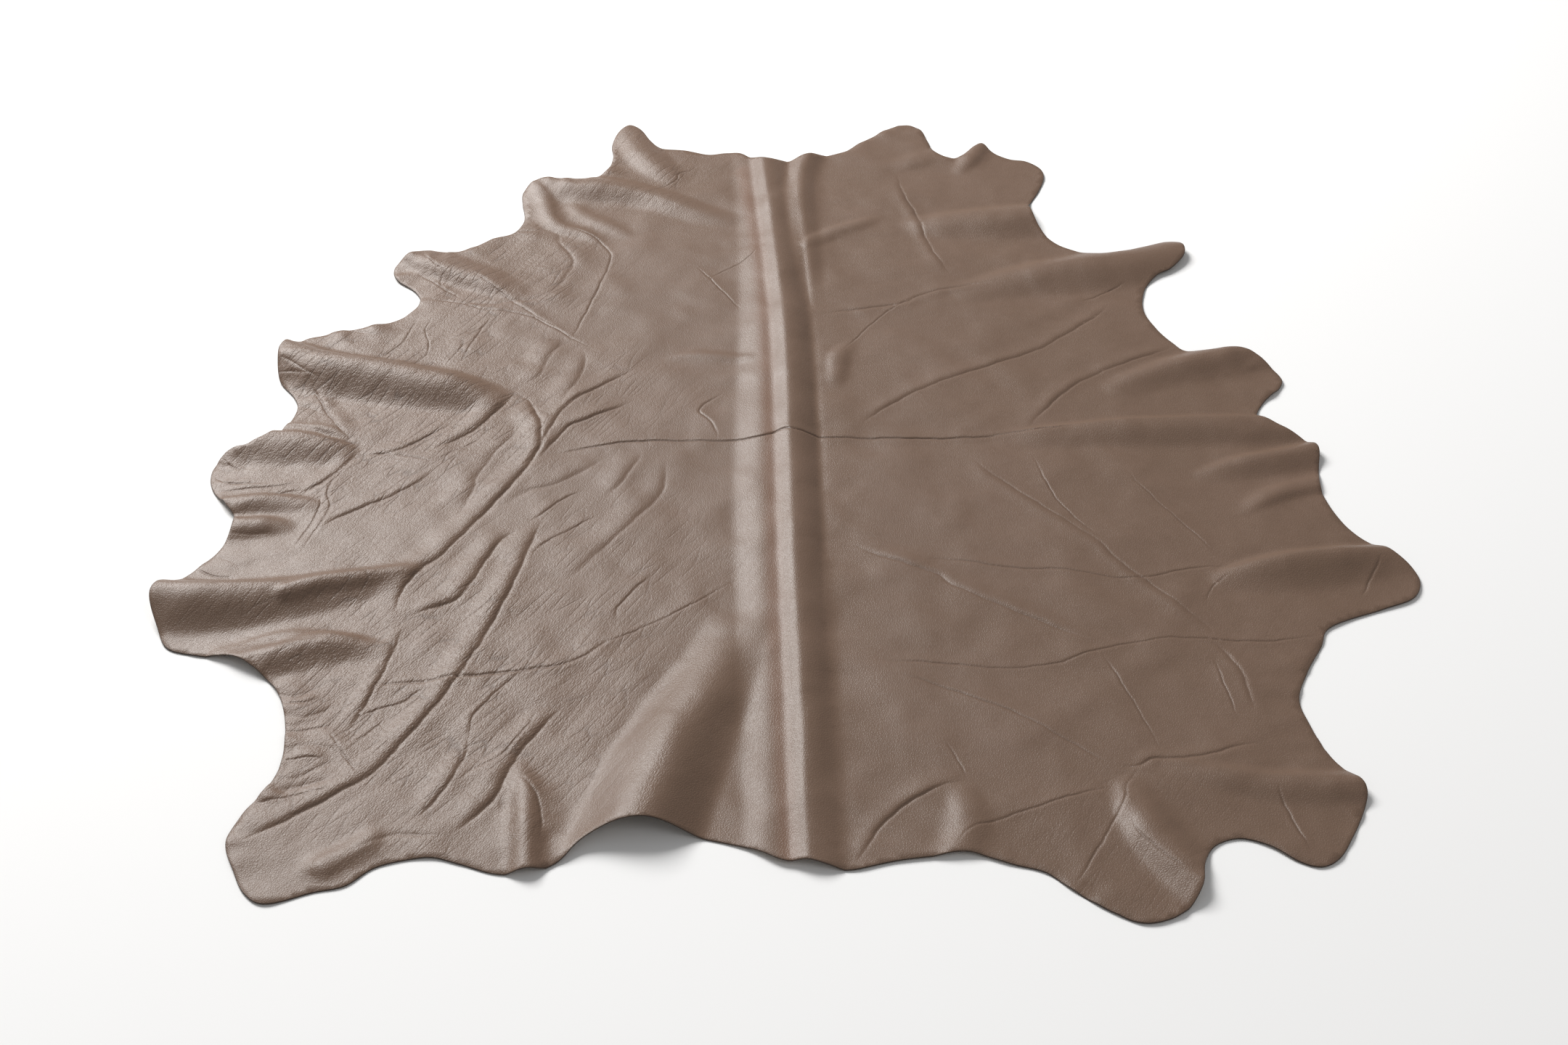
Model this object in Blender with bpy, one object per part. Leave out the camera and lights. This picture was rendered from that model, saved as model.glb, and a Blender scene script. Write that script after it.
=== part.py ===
"""A whole leather hide lying on a flat surface, grain side up, with the folds it was stored in.

One sheet of leather, cut round its natural outline. The butt faces -Y, the neck faces +Y, and
the backbone fold runs along Y. Units are metres, +Z is up and the surface is z = 0.
"""

import math

import bmesh
import bpy
import numpy as np
from mathutils.geometry import delaunay_2d_cdt

# Driving dimensions.
THICKNESS = 0.0025      # the leather
OUTLINE_STEP = 0.022    # between the points of the cut edge
FLAT_STEP = 0.056       # between mesh points where the hide lies flat
FOLD_STEP = 0.042       # between mesh points along a fold
ROW_SHARES = (-1.0, -0.66, -0.33, 0.0, 0.33, 0.66, 1.0)   # rows across a fold, in half-widths
EDGE_GAP = 0.010        # from the cut edge to the nearest mesh point inside
LEAST_WIDTH_SHARE = 0.45  # a fold's width where it dies out, as a share of its full width
CURVE_STEPS = 10        # pieces of smooth curve between two points of a path

# The cut edge, clockwise from the left cheek, as the places it passes through. Each stretch is
# named after the part of the animal's skin that it bounds.
OUTLINE = {
    "left cheek": (
        (-0.410, 1.160), (-0.400, 1.215), (-0.373, 1.252), (-0.345, 1.235), (-0.318, 1.180),
        (-0.290, 1.150), (-0.240, 1.140),
    ),
    "neck": (
        (-0.185, 1.120), (-0.145, 1.126), (-0.110, 1.124), (-0.080, 1.098), (-0.050, 1.083),
        (-0.012, 1.086), (0.020, 1.094), (0.060, 1.108), (0.105, 1.120), (0.140, 1.138), (0.168, 1.173),
    ),
    "right cheek": (
        (0.205, 1.208), (0.250, 1.247), (0.290, 1.260), (0.318, 1.235), (0.333, 1.180),
        (0.346, 1.128), (0.378, 1.099), (0.408, 1.108), (0.440, 1.150), (0.462, 1.160),
        (0.490, 1.125),
    ),
    "right shoulder": (
        (0.522, 1.101), (0.557, 1.092), (0.586, 1.060), (0.592, 1.015), (0.575, 0.955),
        (0.550, 0.895), (0.546, 0.855), (0.560, 0.790), (0.592, 0.730), (0.638, 0.692),
        (0.690, 0.675),
    ),
    "right fore shank": (
        (0.745, 0.686), (0.800, 0.714), (0.840, 0.730), (0.868, 0.712), (0.868, 0.668),
        (0.835, 0.620), (0.798, 0.592), (0.767, 0.540), (0.755, 0.460), (0.775, 0.390),
        (0.802, 0.338),
    ),
    "right elbow": (
        (0.825, 0.308), (0.882, 0.298), (0.935, 0.300), (0.976, 0.268), (1.004, 0.212),
        (0.995, 0.172), (0.957, 0.127), (0.935, 0.076), (0.960, 0.042),
    ),
    "right belly": (
        (1.010, 0.000), (1.034, -0.040), (1.027, -0.095), (1.019, -0.155), (1.030, -0.228),
        (1.060, -0.298), (1.110, -0.352), (1.143, -0.398), (1.150, -0.440), (1.128, -0.484),
        (1.070, -0.512), (1.000, -0.542), (0.957, -0.570), (0.940, -0.612), (0.905, -0.677),
    ),
    "right flank": (
        (0.877, -0.750), (0.885, -0.818), (0.905, -0.890), (0.932, -0.936), (0.948, -0.975),
        (0.935, -1.020), (0.902, -1.085), (0.876, -1.124), (0.845, -1.140), (0.810, -1.127),
        (0.770, -1.094), (0.725, -1.078), (0.682, -1.096), (0.660, -1.142),
    ),
    "right hind shank": (
        (0.648, -1.195), (0.612, -1.240), (0.555, -1.259), (0.505, -1.236), (0.450, -1.192),
        (0.408, -1.152), (0.355, -1.134),
    ),
    "butt": (
        (0.295, -1.113), (0.235, -1.118), (0.170, -1.128), (0.105, -1.146), (0.065, -1.143),
        (0.025, -1.135), (-0.012, -1.129), (-0.060, -1.102), (-0.130, -1.080), (-0.190, -1.070),
        (-0.245, -1.070), (-0.295, -1.078), (-0.332, -1.095), (-0.362, -1.128),
    ),
    "left hind shank": (
        (-0.402, -1.152), (-0.460, -1.155), (-0.520, -1.134), (-0.575, -1.120),
        (-0.650, -1.139), (-0.695, -1.180), (-0.745, -1.194), (-0.813, -1.219),
        (-0.850, -1.198), (-0.876, -1.150), (-0.899, -1.090), (-0.885, -1.030),
    ),
    "left flank": (
        (-0.851, -0.957), (-0.841, -0.895), (-0.850, -0.812), (-0.873, -0.740),
        (-0.910, -0.692), (-0.975, -0.650), (-1.040, -0.636), (-1.090, -0.618),
        (-1.116, -0.570), (-1.139, -0.508), (-1.124, -0.460), (-1.082, -0.403),
    ),
    "left belly": (
        (-1.046, -0.337), (-1.036, -0.260), (-1.062, -0.216), (-1.098, -0.160),
        (-1.108, -0.105), (-1.090, -0.053), (-1.043, -0.030), (-1.000, 0.016),
        (-0.977, 0.090), (-0.990, 0.140), (-1.028, 0.197),
    ),
    "left elbow": (
        (-1.040, 0.262), (-1.036, 0.302), (-1.008, 0.344), (-0.950, 0.370), (-0.880, 0.392),
        (-0.812, 0.430), (-0.780, 0.487), (-0.797, 0.534),
    ),
    "left fore shank": (
        (-0.840, 0.577), (-0.851, 0.623), (-0.830, 0.662), (-0.785, 0.690), (-0.720, 0.694),
        (-0.680, 0.718), (-0.650, 0.746), (-0.605, 0.771),
    ),
    "left shoulder": (
        (-0.587, 0.825), (-0.597, 0.895), (-0.600, 0.943), (-0.583, 0.977), (-0.553, 0.995),
        (-0.510, 0.987), (-0.457, 0.997), (-0.417, 1.040), (-0.404, 1.100),
    ),
}

# The folds that lift the hide off the surface. Each is a crest line with the rise of the crest at
# each of its points, and how far the leather takes to come down to the left and to the right of
# someone who walks along the line.
FOLDS = {
    # name: (left reach, right reach, ((x, y, rise), ...))
    "backbone": (0.058, 0.080, (
        (0.035, -1.17, 0.024), (0.022, -1.00, 0.027), (0.008, -0.70, 0.029),
        (0.000, -0.35, 0.031), (-0.008, 0.00, 0.032), (-0.022, 0.35, 0.032),
        (-0.042, 0.65, 0.032), (-0.068, 0.95, 0.031), (-0.090, 1.17, 0.030))),
    "neck roll": (0.034, 0.040, (
        (0.056, 0.48, 0.000), (0.042, 0.70, 0.009), (0.032, 0.88, 0.013),
        (0.034, 1.02, 0.014), (0.060, 1.16, 0.015))),
    "butt flute": (0.110, 0.125, (
        (-0.095, -0.54, 0.000), (-0.137, -0.67, 0.017), (-0.190, -0.83, 0.033),
        (-0.228, -0.98, 0.042), (-0.255, -1.12, 0.047))),
    "left cheek": (0.040, 0.045, (
        (-0.390, 1.26, 0.008), (-0.345, 1.14, 0.016), (-0.300, 1.06, 0.013),
        (-0.250, 0.99, 0.000))),
    "left shoulder": (0.030, 0.060, (
        (-0.600, 1.02, 0.014), (-0.500, 0.968, 0.019), (-0.400, 0.955, 0.019),
        (-0.310, 0.925, 0.013), (-0.200, 0.860, 0.009), (-0.100, 0.815, 0.000))),
    "left fore shank": (0.060, 0.040, (
        (-0.850, 0.690, 0.012), (-0.760, 0.630, 0.015), (-0.660, 0.575, 0.013),
        (-0.550, 0.505, 0.000))),
    "left elbow": (0.050, 0.085, (
        (-1.070, 0.312, 0.022), (-0.950, 0.244, 0.028), (-0.810, 0.205, 0.029),
        (-0.680, 0.168, 0.023), (-0.560, 0.130, 0.000))),
    "left belly top": (0.020, 0.050, (
        (-1.060, -0.005, 0.014), (-0.960, -0.010, 0.015), (-0.890, -0.025, 0.011),
        (-0.835, -0.045, 0.000))),
    "left belly": (0.045, 0.075, (
        (-1.180, -0.480, 0.029), (-1.060, -0.492, 0.029), (-0.930, -0.476, 0.022),
        (-0.800, -0.440, 0.012), (-0.670, -0.400, 0.000))),
    "left flank": (0.035, 0.055, (
        (-0.990, -0.670, 0.014), (-0.890, -0.640, 0.018), (-0.800, -0.612, 0.016),
        (-0.690, -0.625, 0.000))),
    "left hind shank": (0.028, 0.030, (
        (-0.445, -0.900, 0.000), (-0.425, -1.000, 0.012), (-0.410, -1.180, 0.014))),
    "right shoulder": (0.090, 0.060, (
        (0.590, 0.845, 0.020), (0.480, 0.832, 0.019), (0.370, 0.820, 0.012),
        (0.250, 0.800, 0.000))),
    "right fore shank": (0.095, 0.060, (
        (0.890, 0.700, 0.014), (0.740, 0.645, 0.020), (0.620, 0.618, 0.020),
        (0.480, 0.580, 0.012), (0.350, 0.520, 0.000))),
    "right elbow": (0.070, 0.045, (
        (0.990, 0.310, 0.012), (0.880, 0.272, 0.016), (0.770, 0.235, 0.013),
        (0.640, 0.170, 0.000))),
    "right side": (0.075, 0.030, (
        (0.990, 0.050, 0.012), (0.860, 0.050, 0.014), (0.700, 0.045, 0.012),
        (0.540, 0.028, 0.006), (0.400, 0.000, 0.000))),
    "right belly top": (0.055, 0.030, (
        (1.060, -0.030, 0.013), (0.960, -0.062, 0.015), (0.870, -0.085, 0.010),
        (0.780, -0.120, 0.000))),
    "right belly": (0.080, 0.035, (
        (1.120, -0.355, 0.010), (1.000, -0.372, 0.017), (0.880, -0.395, 0.015),
        (0.770, -0.430, 0.000))),
    "right flank": (0.055, 0.030, (
        (0.990, -0.960, 0.012), (0.900, -0.955, 0.012), (0.780, -0.945, 0.008),
        (0.620, -0.905, 0.000))),
    "right hind shank": (0.055, 0.035, (
        (0.556, -0.930, 0.000), (0.575, -1.030, 0.013), (0.610, -1.110, 0.017),
        (0.680, -1.220, 0.018))),
}


def smooth_path(points, closed=False):
    """A Catmull-Rom curve through the points, which may hold more columns than x and y."""
    points = np.array(points, float)
    if closed:
        points = np.vstack([points[-1], points, points[:2]])
    else:
        points = np.vstack([2 * points[0] - points[1], points, 2 * points[-1] - points[-2]])
    share = (np.arange(CURVE_STEPS) / CURVE_STEPS)[:, None]
    pieces = []
    for before, start, end, after in zip(points, points[1:], points[2:], points[3:]):
        pieces.append(0.5 * (
            2 * start
            + (end - before) * share
            + (2 * before - 5 * start + 4 * end - after) * share ** 2
            + (3 * start - before - 3 * end + after) * share ** 3
        ))
    if not closed:
        pieces.append(points[-2:-1])
    return np.vstack(pieces)


def spaced(path, step):
    """The path again, with points an even distance apart, close to step."""
    along = np.append(0, np.cumsum(np.linalg.norm(np.diff(path[:, :2], axis=0), axis=1)))
    count = max(2, round(along[-1] / step) + 1)
    at = np.linspace(0, along[-1], count)
    return np.stack([np.interp(at, along, column) for column in path.T], axis=1)


def cut_edge():
    """The outline as points in order, centred on the origin, and the shift that centred it."""
    corners = [point for stretch in OUTLINE.values() for point in stretch]
    curve = smooth_path(corners, closed=True)
    curve = spaced(np.vstack([curve, curve[:1]]), OUTLINE_STEP)[:-1]
    shift = -(curve.min(axis=0) + curve.max(axis=0)) / 2
    return curve + shift, shift


def width_share(rise, peak):
    """How wide a fold is where its crest has this rise, as a share of its full width."""
    return LEAST_WIDTH_SHARE + (1 - LEAST_WIDTH_SHARE) * rise / peak


def nearest_on(path, places):
    """For each place: its distance to the path, the side (left is +1) and the rise there."""
    best = np.full(len(places), np.inf)
    side = np.ones(len(places))
    rise = np.zeros(len(places))
    for start, end in zip(path, path[1:]):
        run = end[:2] - start[:2]
        offset = places - start[:2]
        share = np.clip(offset @ run / (run @ run), 0, 1)
        away = np.linalg.norm(offset - share[:, None] * run, axis=1)
        closer = away < best
        best = np.where(closer, away, best)
        turn = run[0] * offset[:, 1] - run[1] * offset[:, 0]
        side = np.where(closer, np.where(turn >= 0, 1, -1), side)
        rise = np.where(closer, start[2] + share * (end[2] - start[2]), rise)
    return best, side, np.maximum(rise, 0)


def underside(places, shift):
    """The height of the hide's underside at each place."""
    height = np.zeros(len(places))
    for left, right, line in FOLDS.values():
        path = smooth_path(line)
        path[:, :2] += shift
        distance, side, rise = nearest_on(path, places)
        reach = np.where(side > 0, left, right) * width_share(rise, path[:, 2].max())
        inward = np.clip(1 - distance / reach, 0, 1)
        height += rise * inward ** 2 * (3 - 2 * inward)
    return height


def surface_normals(places, shift):
    """Unit normals of the underside, which point up, from its slope."""
    probe = 0.002
    slopes = []
    for step in ((probe, 0), (0, probe)):
        rise = underside(places + step, shift) - underside(places - np.array(step), shift)
        slopes.append(rise / (2 * probe))
    normals = np.stack([-slopes[0], -slopes[1], np.ones(len(places))], axis=1)
    return normals / np.linalg.norm(normals, axis=1)[:, None]


def inside(edge, places):
    """Whether each place is inside the outline, by counting the edges to its right."""
    crossings = np.zeros(len(places), int)
    for start, end in zip(edge, np.roll(edge, -1, axis=0)):
        spans = (start[1] > places[:, 1]) != (end[1] > places[:, 1])
        if spans.any():
            share = (places[:, 1] - start[1]) / (end[1] - start[1])
            crossings += spans & (places[:, 0] < start[0] + share * (end[0] - start[0]))
    return crossings % 2 == 1


def clear_of(places, others, gap):
    """Whether each place is further than gap from all of the others."""
    if not len(others):
        return np.ones(len(places), bool)
    apart = np.linalg.norm(places[:, None] - others[None], axis=2)
    return apart.min(axis=1) > gap


def fold_rows(shift):
    """Mesh points in rows that run along each fold, crest line included."""
    rows = []
    for left, right, line in FOLDS.values():
        path = smooth_path(line)
        path[:, :2] += shift
        peak = path[:, 2].max()
        path = spaced(path, FOLD_STEP)
        along = np.gradient(path[:, :2], axis=0)
        along /= np.linalg.norm(along, axis=1)[:, None]
        to_left = np.stack([-along[:, 1], along[:, 0]], axis=1)
        for share in ROW_SHARES:
            reach = (left if share > 0 else right) * width_share(path[:, 2], peak)
            rows.append(path[:, :2] + to_left * (share * reach)[:, None])
    return rows


def flat_grid(edge):
    """Mesh points in staggered rows over the whole hide."""
    low, high = edge.min(axis=0), edge.max(axis=0)
    row_gap = FLAT_STEP * math.sqrt(3) / 2
    grid = []
    for row, y in enumerate(np.arange(low[1], high[1], row_gap)):
        start = low[0] + (row % 2) * FLAT_STEP / 2
        grid += [(x, y) for x in np.arange(start, high[0], FLAT_STEP)]
    return np.array(grid)


def inner_places(edge, shift):
    """All mesh points inside the cut edge: the folds' rows first, then the flat grid."""
    kept = np.empty((0, 2))
    for row in fold_rows(shift):
        row = row[inside(edge, row)]
        row = row[clear_of(row, edge, EDGE_GAP)]
        kept = np.vstack([kept, row[clear_of(row, kept, FOLD_STEP * 0.30)]])
    grid = flat_grid(edge)
    grid = grid[inside(edge, grid)]
    grid = grid[clear_of(grid, edge, FLAT_STEP * 0.45)]
    return np.vstack([kept, grid[clear_of(grid, kept, FLAT_STEP * 0.60)]])


def make_hide():
    """The hide as one closed sheet: its underside, its grain side and the cut edge between."""
    edge, shift = cut_edge()
    places = np.vstack([edge, inner_places(edge, shift)])
    loop = [(i, (i + 1) % len(edge)) for i in range(len(edge))]
    corners, _, triangles, *_ = delaunay_2d_cdt([tuple(p) for p in places], loop, [], 1, 1e-6)
    places = np.array([tuple(corner) for corner in corners])
    low = np.column_stack([places, underside(places, shift)])
    high = low + THICKNESS * surface_normals(places, shift)

    sheet = bmesh.new()
    under = [sheet.verts.new(point) for point in low]
    grain = [sheet.verts.new(point) for point in high]
    for a, b, c in triangles:
        sheet.faces.new((grain[a], grain[b], grain[c]))
        sheet.faces.new((under[c], under[b], under[a]))
    sheet.verts.index_update()
    rim = [e for e in sheet.edges if e.is_boundary and e.verts[0].index < len(places)]
    for side in rim:
        a, b = (v.index for v in side.verts)
        sheet.faces.new((under[a], under[b], grain[b], grain[a]))
    bmesh.ops.recalc_face_normals(sheet, faces=sheet.faces)
    mesh = bpy.data.meshes.new("hide")
    sheet.to_mesh(mesh)
    sheet.free()
    mesh.shade_smooth()
    mesh.set_sharp_from_angle(angle=math.radians(50))
    hide = bpy.data.objects.new("hide", mesh)
    bpy.context.scene.collection.objects.link(hide)
    return hide


def leather():
    """Taupe aniline leather with a soft gloss."""
    material = bpy.data.materials.new("taupe_leather")
    material.use_nodes = True
    shader = material.node_tree.nodes["Principled BSDF"]
    shader.inputs["Base Color"].default_value = (0.195, 0.142, 0.108, 1)
    shader.inputs["Roughness"].default_value = 0.42
    shader.inputs["Metallic"].default_value = 0.0
    return material


def main():
    """Clears the scene and builds the hide."""
    for leftover in list(bpy.data.objects):
        bpy.data.objects.remove(leftover)
    make_hide().data.materials.append(leather())


main()
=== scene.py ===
"""A whole leather hide laid out on a pale floor, grain side up, with its folds and creases.

The hide is one closed sheet: a grain side, a flesh side and the cut edge between them. Its
outline is the solid model's and its main folds follow that model's. The creases, waves and
puckers are pressed in on top of them. Sizes are in metres, the butt faces -Y and the neck +Y.
"""

import logging
import math
from dataclasses import dataclass, field
from enum import Enum

import bmesh
import bpy
import numpy as np
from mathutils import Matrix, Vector
from mathutils.geometry import delaunay_2d_cdt


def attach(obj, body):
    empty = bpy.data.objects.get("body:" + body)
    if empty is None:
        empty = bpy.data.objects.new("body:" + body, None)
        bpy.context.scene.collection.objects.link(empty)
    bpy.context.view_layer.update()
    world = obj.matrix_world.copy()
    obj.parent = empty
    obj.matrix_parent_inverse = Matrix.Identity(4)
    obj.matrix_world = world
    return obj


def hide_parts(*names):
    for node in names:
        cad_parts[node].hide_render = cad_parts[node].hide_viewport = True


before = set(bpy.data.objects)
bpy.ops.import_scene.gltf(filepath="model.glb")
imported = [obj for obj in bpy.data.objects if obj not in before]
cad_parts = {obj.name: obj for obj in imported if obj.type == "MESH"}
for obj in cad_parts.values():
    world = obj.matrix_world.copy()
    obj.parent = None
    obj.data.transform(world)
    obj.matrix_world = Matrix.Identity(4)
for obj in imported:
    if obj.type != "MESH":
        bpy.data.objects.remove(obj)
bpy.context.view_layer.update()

log = logging.getLogger("hide")

Point = tuple[float, float]
Row = tuple[float, float, float]
Colour = tuple[float, float, float, float]
Patches = tuple[tuple[float, float, float, float], ...]

PATH_STEPS = 8  # pieces of smooth curve between two points of a path
PATH_GAP = 0.006  # between the points of a crease's line
PATCH_END = 1.25  # times its radius, where a patch has no weight left
SAME_POINT = 1e-7  # two points this close are one to the triangulation


class Side(Enum):
    """Which part of the sheet a face belongs to, in the order of the material slots."""

    GRAIN = 0
    CUT = 1
    FLESH = 2


class Lean(Enum):
    """How high each side of a crease stands, left first, for someone who walks along its path."""

    BOTH = (0.6, 0.6)
    MORE_LEFT = (1.0, 0.22)
    MORE_RIGHT = (0.22, 1.0)


@dataclass(frozen=True)
class Pressing:
    """The cross-section of a crease.

    Attributes:
        depth: the groove's depth.
        width: the groove's half-width.
        rise: how high the leather stands beside the groove.
        climb: how far from the groove it is at its highest.
        reach: how far from the groove it is down again.
        rub: how far the leather is painted paler where it stands high, from 0 to 1;
        a painted highlight, partly rubbed wear.
    """

    depth: float
    width: float
    rise: float
    climb: float
    reach: float
    rub: float


class Press(Enum):
    """How hard a crease was pressed."""

    HARD = Pressing(0.0005, 0.0022, 0.0044, 0.0135, 0.058, 0.35)
    CRISP = Pressing(0.0006, 0.0020, 0.0026, 0.0095, 0.038, 0.30)
    SOFT = Pressing(0.0002, 0.0028, 0.0020, 0.0170, 0.060, 0.10)
    FINE = Pressing(0.0006, 0.0018, 0.0011, 0.0060, 0.022, 0.25)
    HAIR = Pressing(0.0006, 0.0016, 0.0006, 0.0045, 0.013, 0.15)
    SCORED = Pressing(0.0013, 0.0019, 0.0015, 0.0065, 0.028, 0.30)
    RUBBED = Pressing(0.0004, 0.0018, 0.0020, 0.0115, 0.034, 0.12)


class Flank(Enum):
    """The shape of one side of a fold.

    The first number is near 1 where the crest is sharp and near 2 where it is round, and the
    second is near 1 where the foot is sharp and near 2 where it is soft.
    """

    EVEN = (1.7, 1.7)
    KEEN = (1.30, 1.60)
    FULL = (1.8, 1.35)
    STRAIGHT = (1.15, 1.15)


@dataclass(frozen=True)
class Fold:
    """A fold or a soft roll, which lifts the leather along a crest line.

    Attributes:
        left: how far the leather takes to come down on the left of the crest line.
        right: the same on the right.
        crest: the crest line's places, each with its rise.
        left_flank: the shape of the left side.
        right_flank: the shape of the right side.
    """

    left: float
    right: float
    crest: tuple[Row, ...]
    left_flank: Flank = Flank.EVEN
    right_flank: Flank = Flank.EVEN


@dataclass(frozen=True)
class Crease:
    """A line along which the leather was pressed.

    Attributes:
        press: how hard it was pressed.
        lean: the side that swells beside the line.
        path: the places the line runs through.
    """

    press: Press
    lean: Lean
    path: tuple[Point, ...]


# The cut edge, clockwise from the left cheek. It is the solid model's outline.
OUTLINE: dict[str, tuple[Point, ...]] = {
    "left cheek": (
        (-0.410, 1.160), (-0.400, 1.215), (-0.373, 1.252), (-0.345, 1.235), (-0.318, 1.180),
        (-0.290, 1.150), (-0.240, 1.140),
    ),
    "neck": (
        (-0.185, 1.120), (-0.145, 1.126), (-0.110, 1.124), (-0.080, 1.098), (-0.050, 1.083),
        (-0.012, 1.086), (0.020, 1.094), (0.060, 1.108), (0.105, 1.120), (0.140, 1.138),
        (0.168, 1.173),
    ),
    "right cheek": (
        (0.205, 1.208), (0.250, 1.247), (0.290, 1.260), (0.318, 1.235), (0.333, 1.180),
        (0.346, 1.128), (0.378, 1.099), (0.408, 1.108), (0.440, 1.150), (0.462, 1.160),
        (0.490, 1.125),
    ),
    "right shoulder": (
        (0.522, 1.101), (0.557, 1.092), (0.586, 1.060), (0.592, 1.015), (0.575, 0.955),
        (0.550, 0.895), (0.546, 0.855), (0.560, 0.790), (0.592, 0.730), (0.638, 0.692),
        (0.690, 0.675),
    ),
    "right fore shank": (
        (0.745, 0.686), (0.800, 0.714), (0.840, 0.730), (0.868, 0.712), (0.868, 0.668),
        (0.835, 0.620), (0.798, 0.592), (0.767, 0.540), (0.755, 0.460), (0.775, 0.390),
        (0.802, 0.338),
    ),
    "right elbow": (
        (0.825, 0.308), (0.882, 0.298), (0.935, 0.300), (0.976, 0.268), (1.004, 0.212),
        (0.995, 0.172), (0.957, 0.127), (0.935, 0.076), (0.960, 0.042),
    ),
    "right belly": (
        (1.010, 0.000), (1.034, -0.040), (1.027, -0.095), (1.019, -0.155), (1.030, -0.228),
        (1.060, -0.298), (1.110, -0.352), (1.143, -0.398), (1.150, -0.440), (1.128, -0.484),
        (1.070, -0.512), (1.000, -0.542), (0.957, -0.570), (0.940, -0.612), (0.905, -0.677),
    ),
    "right flank": (
        (0.877, -0.750), (0.885, -0.818), (0.905, -0.890), (0.932, -0.936), (0.948, -0.975),
        (0.935, -1.020), (0.902, -1.085), (0.876, -1.124), (0.845, -1.140), (0.810, -1.127),
        (0.770, -1.094), (0.725, -1.078), (0.682, -1.096), (0.660, -1.142),
    ),
    "right hind shank": (
        (0.648, -1.195), (0.612, -1.240), (0.555, -1.259), (0.505, -1.236), (0.450, -1.192),
        (0.408, -1.152), (0.355, -1.134),
    ),
    "butt": (
        (0.295, -1.113), (0.235, -1.118), (0.170, -1.128), (0.105, -1.146), (0.065, -1.143),
        (0.025, -1.135), (-0.012, -1.129), (-0.060, -1.102), (-0.130, -1.080), (-0.190, -1.070),
        (-0.245, -1.070), (-0.295, -1.078), (-0.332, -1.095), (-0.362, -1.128),
    ),
    "left hind shank": (
        (-0.402, -1.152), (-0.460, -1.155), (-0.520, -1.134), (-0.575, -1.120),
        (-0.650, -1.139), (-0.695, -1.180), (-0.745, -1.194), (-0.813, -1.219),
        (-0.850, -1.198), (-0.876, -1.150), (-0.899, -1.090), (-0.885, -1.030),
    ),
    "left flank": (
        (-0.851, -0.957), (-0.841, -0.895), (-0.850, -0.812), (-0.873, -0.740),
        (-0.910, -0.692), (-0.975, -0.650), (-1.040, -0.636), (-1.090, -0.618),
        (-1.116, -0.570), (-1.139, -0.508), (-1.124, -0.460), (-1.082, -0.403),
    ),
    "left belly": (
        (-1.046, -0.337), (-1.036, -0.260), (-1.062, -0.216), (-1.098, -0.160),
        (-1.108, -0.105), (-1.090, -0.053), (-1.043, -0.030), (-1.000, 0.016),
        (-0.977, 0.090), (-0.990, 0.140), (-1.028, 0.197),
    ),
    "left elbow": (
        (-1.040, 0.262), (-1.036, 0.302), (-1.008, 0.344), (-0.950, 0.370), (-0.880, 0.392),
        (-0.812, 0.430), (-0.780, 0.487), (-0.797, 0.534),
    ),
    "left fore shank": (
        (-0.840, 0.577), (-0.851, 0.623), (-0.830, 0.662), (-0.785, 0.690), (-0.720, 0.694),
        (-0.680, 0.718), (-0.650, 0.746), (-0.605, 0.771),
    ),
    "left shoulder": (
        (-0.587, 0.825), (-0.597, 0.895), (-0.600, 0.943), (-0.583, 0.977), (-0.553, 0.995),
        (-0.510, 0.987), (-0.457, 0.997), (-0.417, 1.040), (-0.404, 1.100),
    ),
}

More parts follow.
